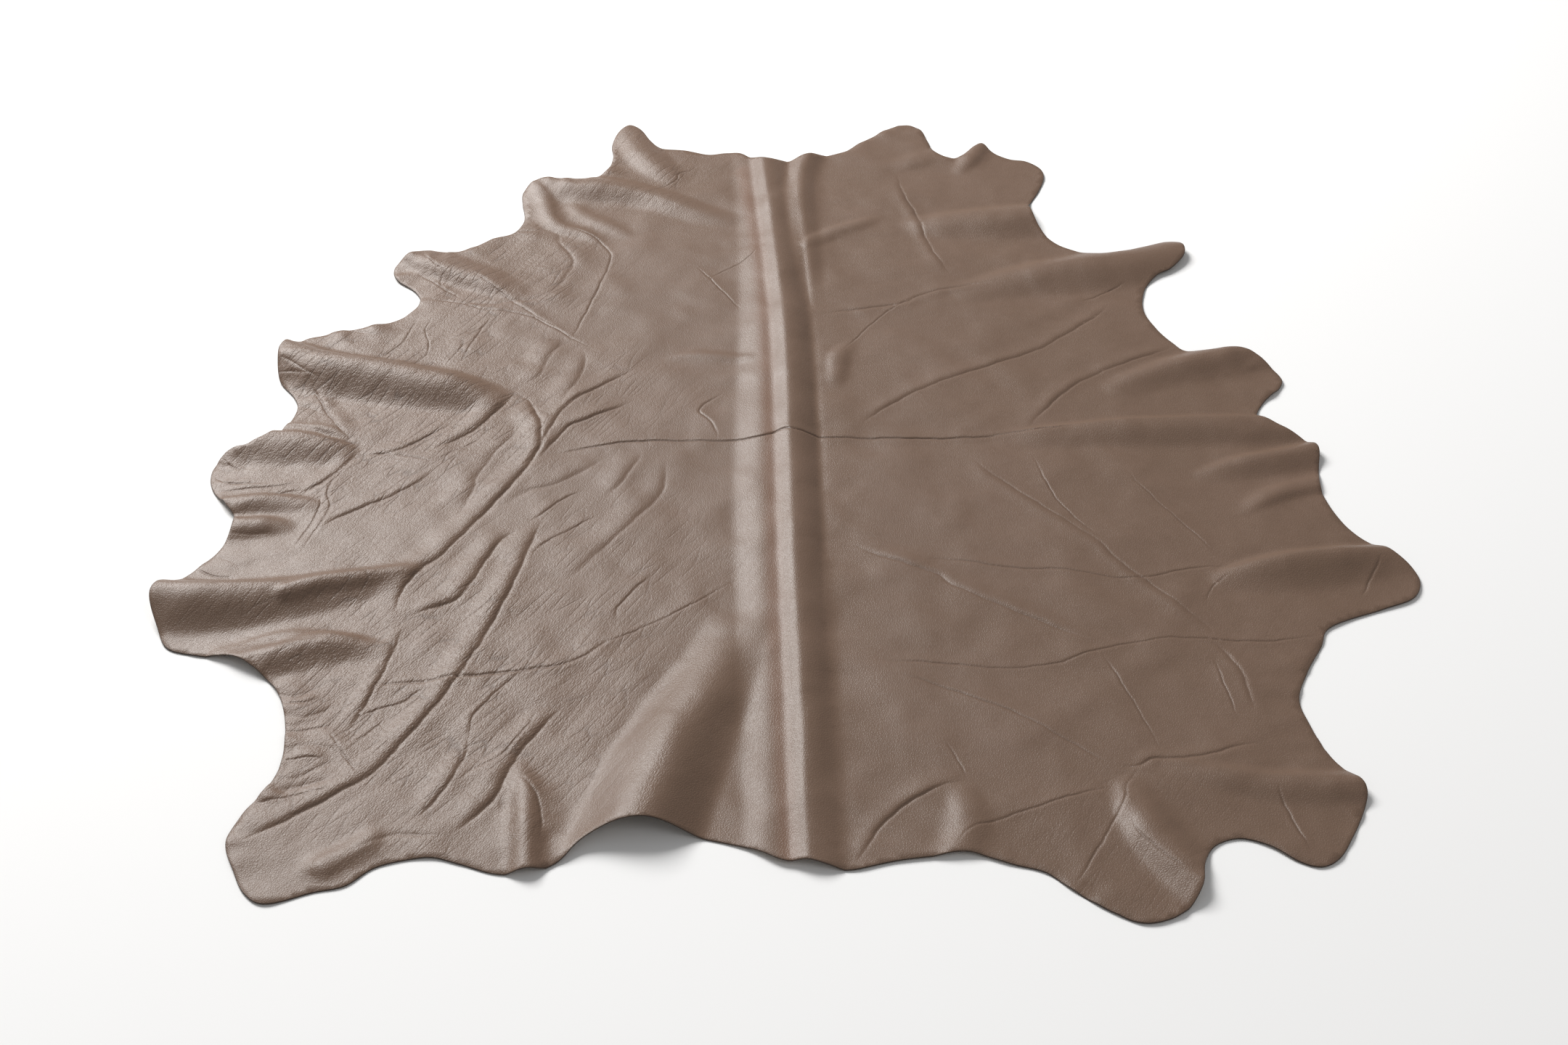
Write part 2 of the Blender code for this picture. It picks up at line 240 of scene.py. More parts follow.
# The folds that lift the hide off the floor. They follow the solid model's, within 8 mm in
# height. The backbone here is a narrow crest on a low step, up to 30 mm further right.
MAIN_FOLDS: dict[str, Fold] = {
    "backbone": Fold(0.028, 0.050, (
        (0.039, -1.17, 0.013), (0.034, -1.00, 0.014), (0.027, -0.70, 0.014),
        (0.016, -0.35, 0.014), (0.009, 0.00, 0.014), (0.000, 0.35, 0.014),
        (-0.018, 0.65, 0.014), (-0.041, 0.95, 0.014), (-0.059, 1.17, 0.013)),
        Flank.STRAIGHT, Flank.FULL),
    "neck roll": Fold(0.034, 0.040, (
        (0.056, 0.48, 0.000), (0.042, 0.70, 0.009), (0.032, 0.88, 0.013),
        (0.034, 1.02, 0.014), (0.060, 1.16, 0.015)), Flank.EVEN, Flank.KEEN),
    "butt flute": Fold(0.105, 0.115, (
        (-0.080, -0.52, 0.000), (-0.118, -0.67, 0.016), (-0.174, -0.83, 0.032),
        (-0.218, -0.98, 0.041), (-0.250, -1.12, 0.046))),
    "left cheek": Fold(0.050, 0.045, (
        (-0.390, 1.26, 0.006), (-0.345, 1.14, 0.010), (-0.300, 1.06, 0.009),
        (-0.250, 0.99, 0.000))),
    "left shoulder": Fold(0.055, 0.060, (
        (-0.600, 1.02, 0.012), (-0.500, 0.968, 0.017), (-0.400, 0.955, 0.017),
        (-0.310, 0.925, 0.012), (-0.200, 0.860, 0.008), (-0.100, 0.815, 0.000)),
        Flank.EVEN, Flank.KEEN),
    "left fore shank": Fold(0.060, 0.040, (
        (-0.850, 0.690, 0.012), (-0.760, 0.630, 0.015), (-0.660, 0.575, 0.013),
        (-0.550, 0.505, 0.000)), Flank.KEEN),
    "left elbow": Fold(0.060, 0.090, (
        (-1.070, 0.312, 0.028), (-0.950, 0.246, 0.034), (-0.810, 0.208, 0.035),
        (-0.680, 0.172, 0.028), (-0.560, 0.130, 0.000))),
    "left belly top": Fold(0.030, 0.080, (
        (-1.070, -0.005, 0.022), (-0.960, -0.008, 0.020), (-0.890, -0.025, 0.012),
        (-0.835, -0.045, 0.000))),
    "left belly": Fold(0.055, 0.095, (
        (-1.180, -0.480, 0.037), (-1.060, -0.490, 0.036), (-0.930, -0.474, 0.026),
        (-0.800, -0.440, 0.014), (-0.670, -0.400, 0.000))),
    "left flank": Fold(0.035, 0.055, (
        (-0.990, -0.670, 0.014), (-0.890, -0.640, 0.018), (-0.800, -0.612, 0.016),
        (-0.690, -0.625, 0.000)), Flank.EVEN, Flank.KEEN),
    "left hind shank": Fold(0.028, 0.030, (
        (-0.445, -0.900, 0.000), (-0.425, -1.000, 0.012), (-0.410, -1.180, 0.014)), Flank.KEEN),
    "right shoulder": Fold(0.090, 0.060, (
        (0.590, 0.845, 0.020), (0.480, 0.832, 0.019), (0.370, 0.820, 0.012),
        (0.250, 0.800, 0.000))),
    "right fore shank": Fold(0.095, 0.060, (
        (0.890, 0.700, 0.014), (0.740, 0.645, 0.020), (0.620, 0.618, 0.020),
        (0.480, 0.580, 0.012), (0.350, 0.520, 0.000))),
    "right elbow": Fold(0.070, 0.045, (
        (0.990, 0.310, 0.015), (0.880, 0.272, 0.019), (0.770, 0.235, 0.015),
        (0.640, 0.170, 0.000)), Flank.KEEN),
    "right side": Fold(0.075, 0.030, (
        (0.990, 0.050, 0.014), (0.860, 0.050, 0.018), (0.700, 0.045, 0.015),
        (0.540, 0.028, 0.008), (0.400, 0.000, 0.000))),
    "right belly top": Fold(0.055, 0.030, (
        (1.060, -0.030, 0.013), (0.960, -0.062, 0.015), (0.870, -0.085, 0.010),
        (0.780, -0.120, 0.000)), Flank.KEEN),
    "right belly": Fold(0.080, 0.035, (
        (1.120, -0.355, 0.012), (1.000, -0.372, 0.020), (0.880, -0.395, 0.018),
        (0.770, -0.430, 0.000)), Flank.KEEN),
    "right flank": Fold(0.055, 0.030, (
        (0.990, -0.960, 0.012), (0.900, -0.955, 0.012), (0.780, -0.945, 0.008),
        (0.620, -0.905, 0.000))),
    "right hind shank": Fold(0.055, 0.050, (
        (0.556, -0.930, 0.000), (0.575, -1.030, 0.013), (0.610, -1.110, 0.017),
        (0.680, -1.220, 0.018))),
}

# Low rolls, up to 12 mm high, beside the main folds and between them.
LOW_ROLLS: dict[str, Fold] = {
    "backbone step": Fold(0.060, 0.098, (
        (-0.020, -1.17, 0.005), (-0.022, -1.00, 0.008), (-0.025, -0.70, 0.011),
        (-0.036, -0.35, 0.012), (-0.040, 0.00, 0.012), (-0.042, 0.35, 0.011),
        (-0.054, 0.65, 0.008), (-0.076, 0.95, 0.005), (-0.092, 1.17, 0.004)),
        Flank.EVEN, Flank.FULL),
    "backbone foot": Fold(0.018, 0.070, (
        (0.084, -0.30, 0.000), (0.080, 0.00, 0.0016), (0.068, 0.35, 0.0022),
        (0.058, 0.60, 0.0020), (0.050, 0.75, 0.000))),
    "shoulder loop": Fold(0.020, 0.024, (
        (-0.585, 0.97, 0.003), (-0.550, 0.92, 0.006), (-0.530, 0.84, 0.007),
        (-0.500, 0.795, 0.006), (-0.450, 0.77, 0.005), (-0.405, 0.73, 0.000))),
    "inner shoulder": Fold(0.022, 0.024, (
        (-0.490, 0.90, 0.000), (-0.447, 0.84, 0.004), (-0.380, 0.787, 0.004),
        (-0.333, 0.747, 0.000))),
    "upper belly": Fold(0.014, 0.016, (
        (-1.000, 0.040, 0.005), (-0.947, 0.033, 0.006), (-0.900, 0.023, 0.005),
        (-0.860, 0.000, 0.000))),
    "belly lobe": Fold(0.018, 0.040, (
        (-1.060, -0.207, 0.012), (-0.980, -0.197, 0.011), (-0.920, -0.200, 0.006),
        (-0.880, -0.213, 0.000))),
    "belly waist": Fold(0.025, 0.040, (
        (-1.060, -0.275, 0.012), (-0.980, -0.270, 0.011), (-0.920, -0.275, 0.000))),
    "belly inner": Fold(0.018, 0.026, (
        (-0.900, -0.485, 0.006), (-0.853, -0.460, 0.008), (-0.773, -0.433, 0.008),
        (-0.720, -0.413, 0.005), (-0.667, -0.400, 0.000))),
    "flank upper": Fold(0.014, 0.018, (
        (-1.000, -0.633, 0.005), (-0.960, -0.620, 0.006), (-0.900, -0.593, 0.006),
        (-0.827, -0.587, 0.005), (-0.733, -0.600, 0.000))),
    "shank edge": Fold(0.026, 0.030, (
        (-0.655, -1.050, 0.000), (-0.680, -1.095, 0.006), (-0.735, -1.140, 0.009))),
    "left rib": Fold(0.014, 0.018, (
        (-0.250, 0.280, 0.000), (-0.203, 0.293, 0.003), (-0.150, 0.290, 0.004),
        (-0.083, 0.280, 0.002))),
    "right neck": Fold(0.040, 0.040, (
        (0.370, 1.120, 0.007), (0.300, 1.090, 0.006), (0.240, 1.055, 0.000))),
    "right cheek": Fold(0.025, 0.032, (
        (0.455, 1.170, 0.009), (0.425, 1.090, 0.008), (0.390, 1.030, 0.000))),
    "neck branch": Fold(0.018, 0.026, (
        (0.043, 0.713, 0.002), (0.077, 0.753, 0.005), (0.117, 0.787, 0.006),
        (0.157, 0.807, 0.005), (0.217, 0.847, 0.000))),
    "loin curve": Fold(0.020, 0.022, (
        (0.143, 0.347, 0.000), (0.110, 0.293, 0.004), (0.103, 0.233, 0.004),
        (0.097, 0.167, 0.000))),
    "right belly middle": Fold(0.022, 0.034, (
        (1.030, -0.143, 0.008), (0.957, -0.167, 0.007), (0.897, -0.200, 0.005),
        (0.850, -0.240, 0.000))),
    "butt ripple": Fold(0.040, 0.040, (
        (0.283, -0.950, 0.000), (0.292, -1.030, 0.006), (0.270, -1.130, 0.007))),
}

# The creases of the left half, from the neck to the butt.
LEFT_CREASES: tuple[Crease, ...] = (
    Crease(Press.FINE, Lean.BOTH, ((-0.205, 1.050), (-0.245, 1.035), (-0.255, 1.000), (-0.290, 0.960))),
    Crease(Press.SOFT, Lean.BOTH, (
        (-0.505, 0.790), (-0.500, 0.730), (-0.465, 0.660), (-0.475, 0.600), (-0.495, 0.545),
        (-0.535, 0.505), (-0.585, 0.495), (-0.635, 0.485), (-0.775, 0.505))),
    Crease(Press.FINE, Lean.BOTH, (
        (-0.775, 0.500), (-0.700, 0.490), (-0.645, 0.465), (-0.545, 0.440), (-0.435, 0.345),
        (-0.400, 0.315))),
    Crease(Press.FINE, Lean.MORE_LEFT, ((-0.700, 0.615), (-0.565, 0.475), (-0.470, 0.385))),
    Crease(Press.FINE, Lean.BOTH, (
        (-0.495, 0.795), (-0.455, 0.775), (-0.420, 0.745), (-0.385, 0.680), (-0.395, 0.590),
        (-0.440, 0.385), (-0.460, 0.335))),
    Crease(Press.SOFT, Lean.BOTH, ((-0.600, 0.775), (-0.545, 0.780))),
    Crease(Press.FINE, Lean.BOTH, (
        (-0.800, 0.675), (-0.765, 0.625), (-0.740, 0.600), (-0.745, 0.565), (-0.720, 0.525))),
    Crease(Press.FINE, Lean.BOTH, ((-0.795, 0.600), (-0.695, 0.505))),
    Crease(Press.HAIR, Lean.BOTH, ((-0.195, 0.635), (-0.095, 0.460))),
    Crease(Press.HAIR, Lean.BOTH, ((-0.170, 0.585), (-0.085, 0.660), (-0.065, 0.700))),
    Crease(Press.FINE, Lean.BOTH, ((-0.125, 0.165), (-0.175, 0.100), (-0.150, 0.060), (-0.135, 0.005))),
    Crease(Press.FINE, Lean.BOTH, ((-0.620, 0.440), (-0.645, 0.365), (-0.665, 0.285))),
    Crease(Press.HAIR, Lean.BOTH, ((-0.640, 0.405), (-0.695, 0.350))),
    Crease(Press.FINE, Lean.BOTH, ((-0.775, 0.435), (-0.785, 0.395), (-0.795, 0.345), (-0.835, 0.275))),
    Crease(Press.HAIR, Lean.BOTH, ((-0.745, 0.440), (-0.755, 0.385), (-0.740, 0.325), (-0.745, 0.280))),
    Crease(Press.HAIR, Lean.BOTH, ((-0.665, 0.340), (-0.700, 0.255))),
    Crease(Press.SOFT, Lean.MORE_RIGHT, (
        (-0.465, 0.360), (-0.465, 0.335), (-0.485, 0.295), (-0.495, 0.255), (-0.505, 0.215),
        (-0.535, 0.180))),
    Crease(Press.SOFT, Lean.MORE_RIGHT, (
        (-0.420, 0.315), (-0.415, 0.275), (-0.420, 0.220), (-0.465, 0.090))),
    Crease(Press.CRISP, Lean.MORE_RIGHT, (
        (-0.295, 0.255), (-0.400, 0.160), (-0.435, 0.120), (-0.460, 0.060), (-0.495, -0.080))),
    Crease(Press.CRISP, Lean.MORE_RIGHT, (
        (-0.300, 0.135), (-0.400, 0.065), (-0.435, 0.035), (-0.490, -0.080))),
    Crease(Press.SOFT, Lean.MORE_RIGHT, (
        (-0.340, -0.050), (-0.430, -0.135), (-0.490, -0.165), (-0.530, -0.200))),
    Crease(Press.FINE, Lean.MORE_RIGHT, ((-0.385, -0.170), (-0.415, -0.180), (-0.480, -0.260))),
    Crease(Press.FINE, Lean.MORE_RIGHT, ((-0.350, -0.235), (-0.455, -0.330), (-0.470, -0.370))),
    Crease(Press.SOFT, Lean.MORE_RIGHT, ((-0.280, -0.040), (-0.315, -0.135), (-0.345, -0.180))),
    Crease(Press.SOFT, Lean.MORE_RIGHT, (
        (-0.235, -0.055), (-0.235, -0.135), (-0.255, -0.205), (-0.405, -0.440))),
    Crease(Press.FINE, Lean.MORE_RIGHT, ((-0.245, -0.410), (-0.300, -0.500), (-0.305, -0.545))),
    Crease(Press.SOFT, Lean.MORE_RIGHT, (
        (-0.505, 0.075), (-0.560, -0.025), (-0.595, -0.120), (-0.600, -0.170), (-0.625, -0.260))),
    Crease(Press.HARD, Lean.MORE_RIGHT, (
        (-0.545, 0.155), (-0.515, 0.125), (-0.485, 0.035), (-0.500, -0.085), (-0.625, -0.340),
        (-0.665, -0.395), (-0.685, -0.435), (-0.700, -0.485), (-0.700, -0.535))),
    Crease(Press.CRISP, Lean.MORE_RIGHT, ((-0.680, -0.560), (-0.705, -0.700), (-0.740, -0.835))),
    Crease(Press.HARD, Lean.MORE_RIGHT, (
        (-0.545, 0.155), (-0.605, 0.045), (-0.640, 0.005), (-0.700, -0.040))),
    Crease(Press.CRISP, Lean.MORE_RIGHT, (
        (-0.655, 0.060), (-0.735, -0.020), (-0.775, -0.045), (-0.840, -0.050))),
    Crease(Press.CRISP, Lean.MORE_LEFT, ((-0.965, 0.185), (-0.900, 0.060), (-0.850, -0.010))),
    Crease(Press.CRISP, Lean.MORE_RIGHT, (
        (-0.845, -0.035), (-0.845, -0.065), (-0.885, -0.135), (-0.905, -0.155), (-0.935, -0.180))),
    Crease(Press.FINE, Lean.BOTH, (
        (-0.835, -0.055), (-0.870, -0.135), (-0.875, -0.180), (-0.865, -0.225), (-0.900, -0.355))),
    Crease(Press.FINE, Lean.BOTH, ((-0.810, -0.045), (-0.720, -0.060), (-0.685, -0.080))),
    Crease(Press.CRISP, Lean.MORE_RIGHT, (
        (-0.680, -0.095), (-0.705, -0.135), (-0.745, -0.175), (-0.840, -0.245), (-0.875, -0.285))),
    Crease(Press.HAIR, Lean.BOTH, ((-0.890, -0.170), (-0.885, -0.230), (-0.915, -0.350))),
    Crease(Press.HAIR, Lean.BOTH, ((-0.690, -0.075), (-0.590, 0.010))),
    Crease(Press.HARD, Lean.MORE_RIGHT, (
        (-0.495, -0.280), (-0.535, -0.325), (-0.575, -0.445), (-0.600, -0.490), (-0.655, -0.520),
        (-0.685, -0.545))),
    Crease(Press.HARD, Lean.MORE_RIGHT, (
        (-0.455, -0.255), (-0.470, -0.300), (-0.500, -0.455), (-0.545, -0.620), (-0.595, -0.755),
        (-0.660, -0.885), (-0.700, -0.945), (-0.845, -1.065), (-0.890, -1.090))),
    Crease(Press.HARD, Lean.MORE_RIGHT, (
        (-0.375, -0.755), (-0.400, -0.795), (-0.450, -0.890), (-0.480, -0.990), (-0.515, -1.040),
        (-0.545, -1.075))),
    Crease(Press.CRISP, Lean.MORE_LEFT, (
        (-0.440, -0.935), (-0.415, -0.975), (-0.400, -1.020), (-0.395, -1.085))),
    Crease(Press.CRISP, Lean.BOTH, (
        (-0.740, -0.715), (-0.625, -0.705), (-0.580, -0.695), (-0.445, -0.675), (-0.400, -0.665),
        (-0.355, -0.640), (-0.300, -0.580))),
    Crease(Press.FINE, Lean.MORE_LEFT, (
        (-0.740, -0.805), (-0.700, -0.775), (-0.660, -0.760), (-0.640, -0.735), (-0.615, -0.715))),
    Crease(Press.HAIR, Lean.BOTH, ((-0.680, -0.800), (-0.730, -0.860))),
    Crease(Press.FINE, Lean.MORE_RIGHT, (
        (-0.435, -0.680), (-0.470, -0.690), (-0.520, -0.765), (-0.535, -0.805), (-0.535, -0.860))),
    Crease(Press.CRISP, Lean.MORE_RIGHT, (
        (-0.535, -0.840), (-0.540, -0.900), (-0.570, -0.985), (-0.605, -1.040))),
    Crease(Press.FINE, Lean.BOTH, (
        (-0.420, -0.775), (-0.465, -0.870), (-0.490, -0.900), (-0.525, -0.925), (-0.545, -0.955))),
    Crease(Press.FINE, Lean.BOTH, ((-0.100, -0.435), (-0.195, -0.520), (-0.350, -0.625))),
    Crease(Press.FINE, Lean.BOTH, ((-0.775, -0.830), (-0.710, -0.935))),
    Crease(Press.SOFT, Lean.BOTH, (
        (-0.545, -1.075), (-0.600, -1.070), (-0.645, -1.075), (-0.700, -1.115))),
)

# Short creases that run in from the cut edge along the left side, from the elbow to the shank.
EDGE_CREASES: tuple[Crease, ...] = (
    Crease(Press.SOFT, Lean.MORE_LEFT, ((-0.910, 0.380), (-0.840, 0.360))),
    Crease(Press.FINE, Lean.BOTH, ((-1.040, 0.260), (-0.945, 0.185))),
    Crease(Press.FINE, Lean.BOTH, ((-1.035, 0.220), (-0.965, 0.200))),
    Crease(Press.SOFT, Lean.MORE_LEFT, ((-0.985, 0.110), (-0.945, 0.100), (-0.930, 0.085))),
    Crease(Press.SOFT, Lean.MORE_LEFT, ((-0.995, 0.040), (-0.955, 0.035), (-0.880, 0.005))),
    Crease(Press.FINE, Lean.BOTH, ((-1.100, -0.065), (-1.065, -0.095), (-1.045, -0.100))),
    Crease(Press.FINE, Lean.BOTH, (
        (-1.105, -0.120), (-1.075, -0.140), (-1.045, -0.145), (-1.000, -0.140))),
    Crease(Press.FINE, Lean.MORE_LEFT, ((-1.095, -0.165), (-1.055, -0.165), (-0.935, -0.145))),
    Crease(Press.FINE, Lean.MORE_LEFT, ((-1.070, -0.195), (-0.980, -0.180), (-0.920, -0.160))),
    Crease(Press.SOFT, Lean.MORE_LEFT, ((-1.040, -0.300), (-1.000, -0.305), (-0.955, -0.295))),
    Crease(Press.SOFT, Lean.MORE_LEFT, ((-1.055, -0.360), (-1.025, -0.375), (-0.995, -0.400))),
    Crease(Press.FINE, Lean.BOTH, ((-1.080, -0.400), (-1.045, -0.420), (-1.005, -0.425))),
    Crease(Press.SOFT, Lean.MORE_LEFT, ((-0.890, -0.725), (-0.855, -0.745), (-0.815, -0.730))),
    Crease(Press.FINE, Lean.MORE_LEFT, ((-0.865, -0.765), (-0.825, -0.760), (-0.800, -0.745))),
    Crease(Press.SOFT, Lean.MORE_LEFT, ((-0.855, -0.800), (-0.815, -0.795), (-0.765, -0.765))),
    Crease(Press.FINE, Lean.MORE_LEFT, ((-0.850, -0.835), (-0.805, -0.825), (-0.765, -0.815))),
    Crease(Press.SOFT, Lean.MORE_LEFT, (
        (-0.845, -0.875), (-0.800, -0.865), (-0.760, -0.875), (-0.735, -0.895))),
    Crease(Press.FINE, Lean.MORE_LEFT, ((-0.845, -0.905), (-0.800, -0.895), (-0.765, -0.900))),
    Crease(Press.SOFT, Lean.MORE_LEFT, (
        (-0.845, -0.945), (-0.820, -0.945), (-0.790, -0.930), (-0.750, -0.900))),
    Crease(Press.SOFT, Lean.MORE_LEFT, ((-0.855, -0.975), (-0.815, -0.965), (-0.735, -0.940))),
    Crease(Press.FINE, Lean.MORE_LEFT, ((-0.875, -1.005), (-0.745, -0.965))),
)

# The crease across the back.
MIDDLE_CREASES: tuple[Crease, ...] = (
    Crease(Press.SCORED, Lean.BOTH, (
        (-0.465, -0.050), (-0.345, -0.015), (-0.265, -0.005), (-0.060, -0.005), (-0.010, 0.010),
        (0.055, 0.005), (0.350, 0.005), (0.465, 0.025), (0.595, 0.040))),
)

# The creases of the right half, from the neck to the butt.
RIGHT_CREASES: tuple[Crease, ...] = (
    Crease(Press.RUBBED, Lean.MORE_RIGHT, (
        (0.255, 1.035), (0.265, 0.945), (0.290, 0.855), (0.315, 0.720), (0.355, 0.600))),
    Crease(Press.RUBBED, Lean.BOTH, (
        (0.065, 0.445), (0.235, 0.485), (0.285, 0.520), (0.350, 0.545), (0.450, 0.565))),
    Crease(Press.HAIR, Lean.BOTH, ((0.115, 0.305), (0.185, 0.420), (0.250, 0.495), (0.290, 0.520))),
    Crease(Press.RUBBED, Lean.MORE_RIGHT, (
        (0.685, 0.480), (0.650, 0.435), (0.550, 0.340), (0.505, 0.305), (0.350, 0.220),
        (0.250, 0.155), (0.170, 0.080), (0.145, 0.045))),
    Crease(Press.FINE, Lean.BOTH, ((0.730, 0.565), (0.665, 0.515), (0.625, 0.495))),
    Crease(Press.RUBBED, Lean.MORE_RIGHT, (
        (0.805, 0.325), (0.605, 0.205), (0.505, 0.085), (0.475, 0.035))),
    Crease(Press.RUBBED, Lean.MORE_RIGHT, (
        (0.355, -0.055), (0.385, -0.100), (0.425, -0.145), (0.575, -0.315), (0.610, -0.375),
        (0.745, -0.555), (0.740, -0.590))),
    Crease(Press.HAIR, Lean.BOTH, ((0.475, -0.045), (0.515, -0.195), (0.585, -0.315))),
    Crease(Press.HAIR, Lean.BOTH, ((0.655, -0.100), (0.685, -0.165), (0.795, -0.360))),
    Crease(Press.FINE, Lean.BOTH, (
        (0.240, -0.375), (0.295, -0.370), (0.415, -0.395), (0.505, -0.400), (0.625, -0.425),
        (0.750, -0.395), (0.825, -0.395))),
    Crease(Press.RUBBED, Lean.MORE_LEFT, (
        (0.115, -0.325), (0.170, -0.360), (0.275, -0.415), (0.315, -0.455), (0.545, -0.605))),
    Crease(Press.HAIR, Lean.BOTH, ((0.810, -0.415), (0.770, -0.450), (0.755, -0.490))),
    Crease(Press.FINE, Lean.BOTH, ((1.095, -0.365), (1.035, -0.480))),
    Crease(Press.FINE, Lean.BOTH, (
        (0.150, -0.650), (0.250, -0.655), (0.370, -0.670), (0.425, -0.665), (0.475, -0.655),
        (0.550, -0.620), (0.650, -0.595), (0.705, -0.590), (0.835, -0.600), (0.945, -0.585))),
    Crease(Press.RUBBED, Lean.BOTH, (
        (0.750, -0.600), (0.775, -0.645), (0.790, -0.695), (0.795, -0.780))),
    Crease(Press.HAIR, Lean.BOTH, ((0.745, -0.645), (0.765, -0.795))),
    Crease(Press.HAIR, Lean.BOTH, ((0.550, -0.625), (0.595, -0.765), (0.625, -0.875))),
    Crease(Press.FINE, Lean.BOTH, (
        (0.165, -0.680), (0.230, -0.700), (0.355, -0.765), (0.415, -0.805), (0.545, -0.915))),
    Crease(Press.CRISP, Lean.BOTH, (
        (0.545, -0.915), (0.585, -0.910), (0.610, -0.895), (0.685, -0.890), (0.755, -0.865),
        (0.795, -0.855))),
    Crease(Press.FINE, Lean.BOTH, (
        (0.590, -0.910), (0.570, -0.935), (0.555, -0.965), (0.545, -1.005), (0.450, -1.185))),
    Crease(Press.FINE, Lean.BOTH, (
        (0.545, -0.965), (0.485, -0.975), (0.335, -1.040), (0.290, -1.065), (0.265, -1.100))),
    Crease(Press.CRISP, Lean.MORE_RIGHT, (
        (0.290, -0.950), (0.250, -0.960), (0.195, -1.000), (0.155, -1.045), (0.125, -1.100),
        (0.110, -1.135))),
    Crease(Press.FINE, Lean.BOTH, ((0.555, -1.040), (0.570, -1.085), (0.630, -1.165))),
    Crease(Press.FINE, Lean.BOTH, ((0.805, -0.955), (0.810, -1.005), (0.835, -1.105))),
    Crease(Press.HAIR, Lean.BOTH, ((0.265, -0.855), (0.285, -0.900), (0.295, -0.940))),
)


ALL_CREASES = LEFT_CREASES + EDGE_CREASES + MIDDLE_CREASES + RIGHT_CREASES


def smooth_path(points: np.ndarray, closed: bool = False) -> np.ndarray:
    """Runs a Catmull-Rom curve through the points.

    Args:
        points: one row for each point, x and y first and any other columns after them.
        closed: whether the curve returns to its start.

    Returns:
        The curve's points, with the same columns.
    """
    if closed:
        points = np.vstack([points[-1], points, points[:2]])
    else:
        points = np.vstack([2 * points[0] - points[1], points, 2 * points[-1] - points[-2]])
    share = (np.arange(PATH_STEPS) / PATH_STEPS)[:, None]
    pieces = []
    for before, start, end, after in zip(points, points[1:], points[2:], points[3:]):
        line = 2 * start + (end - before) * share
        bend = (2 * before - 5 * start + 4 * end - after) * share**2
        twist = (3 * start - before - 3 * end + after) * share**3
        pieces.append(0.5 * (line + bend + twist))
    if not closed:
        pieces.append(points[-2:-1])
    return np.vstack(pieces)


def spaced(path: np.ndarray, step: float) -> np.ndarray:
    """Puts points an even distance apart along a path.

    Args:
        path: the path's points.
        step: about how far apart the new points are.

    Returns:
        The new points, with the same columns.
    """
    along = np.append(0, np.cumsum(np.linalg.norm(np.diff(path[:, :2], axis=0), axis=1)))
    at = np.linspace(0, along[-1], max(2, round(along[-1] / step) + 1))
    return np.stack([np.interp(at, along, column) for column in path.T], axis=1)


def patch_weight(places: np.ndarray, patches: Patches) -> np.ndarray:
    """Weighs places by the patches they are in.

    Args:
        places: rows of x and y.
        patches: rows of centre x, centre y, radius and strength.

    Returns:
        The highest weight at each place.
    """
    weight = np.zeros(len(places))
    for x, y, radius, strength in patches:
        away = np.hypot(places[:, 0] - x, places[:, 1] - y)
        weight = np.maximum(weight, strength * eased(PATCH_END - away / radius))
    return weight


def eased(share: np.ndarray) -> np.ndarray:
    """Turns a share from 0 to 1 into one that starts and ends gently."""
    share = np.clip(share, 0, 1)
    return share**2 * (3 - 2 * share)


@dataclass
class Reading:
    """What a path reads at the places near it.

    Attributes:
        which: the indices of the places within reach.
        distance: how far each of them is from the path.
        left: whether each is on the left of the path.
        value: the path's third column at the nearest point.
        run: how far along the path the nearest point is.
        length: the whole path's length.
    """

    which: np.ndarray
    distance: np.ndarray
    left: np.ndarray
    value: np.ndarray
    run: np.ndarray
    length: float


def read_path(path: np.ndarray, places: np.ndarray, reach: float) -> Reading:
    """Measures the places within reach of a path.

    Args:
        path: rows of x, y and a value.
        places: rows of x and y.
        reach: how far from the path places still count.

    Returns:
        The readings of the places in the path's surroundings.
    """
    low = path[:, :2].min(axis=0) - reach
    high = path[:, :2].max(axis=0) + reach
    which = np.flatnonzero(((places > low) & (places < high)).all(axis=1))
    near = places[which]
    distance = np.full(len(near), np.inf)
    left = np.zeros(len(near), bool)
    value = np.zeros(len(near))
    run = np.zeros(len(near))
    walked = 0.0
    for start, end in zip(path, path[1:]):
        step = end[:2] - start[:2]
        length = math.hypot(*step)
        offset = near - start[:2]
        share = np.clip(offset @ step / length**2, 0, 1)
        away = np.hypot(*(offset - share[:, None] * step).T)
        closer = away < distance
        distance = np.where(closer, away, distance)
        left = np.where(closer, step[0] * offset[:, 1] > step[1] * offset[:, 0], left)
        value = np.where(closer, start[2] + share * (end[2] - start[2]), value)
        run = np.where(closer, walked + share * length, run)
        walked += length
    kept = distance < reach
    return Reading(which[kept], distance[kept], left[kept], value[kept], run[kept], walked)


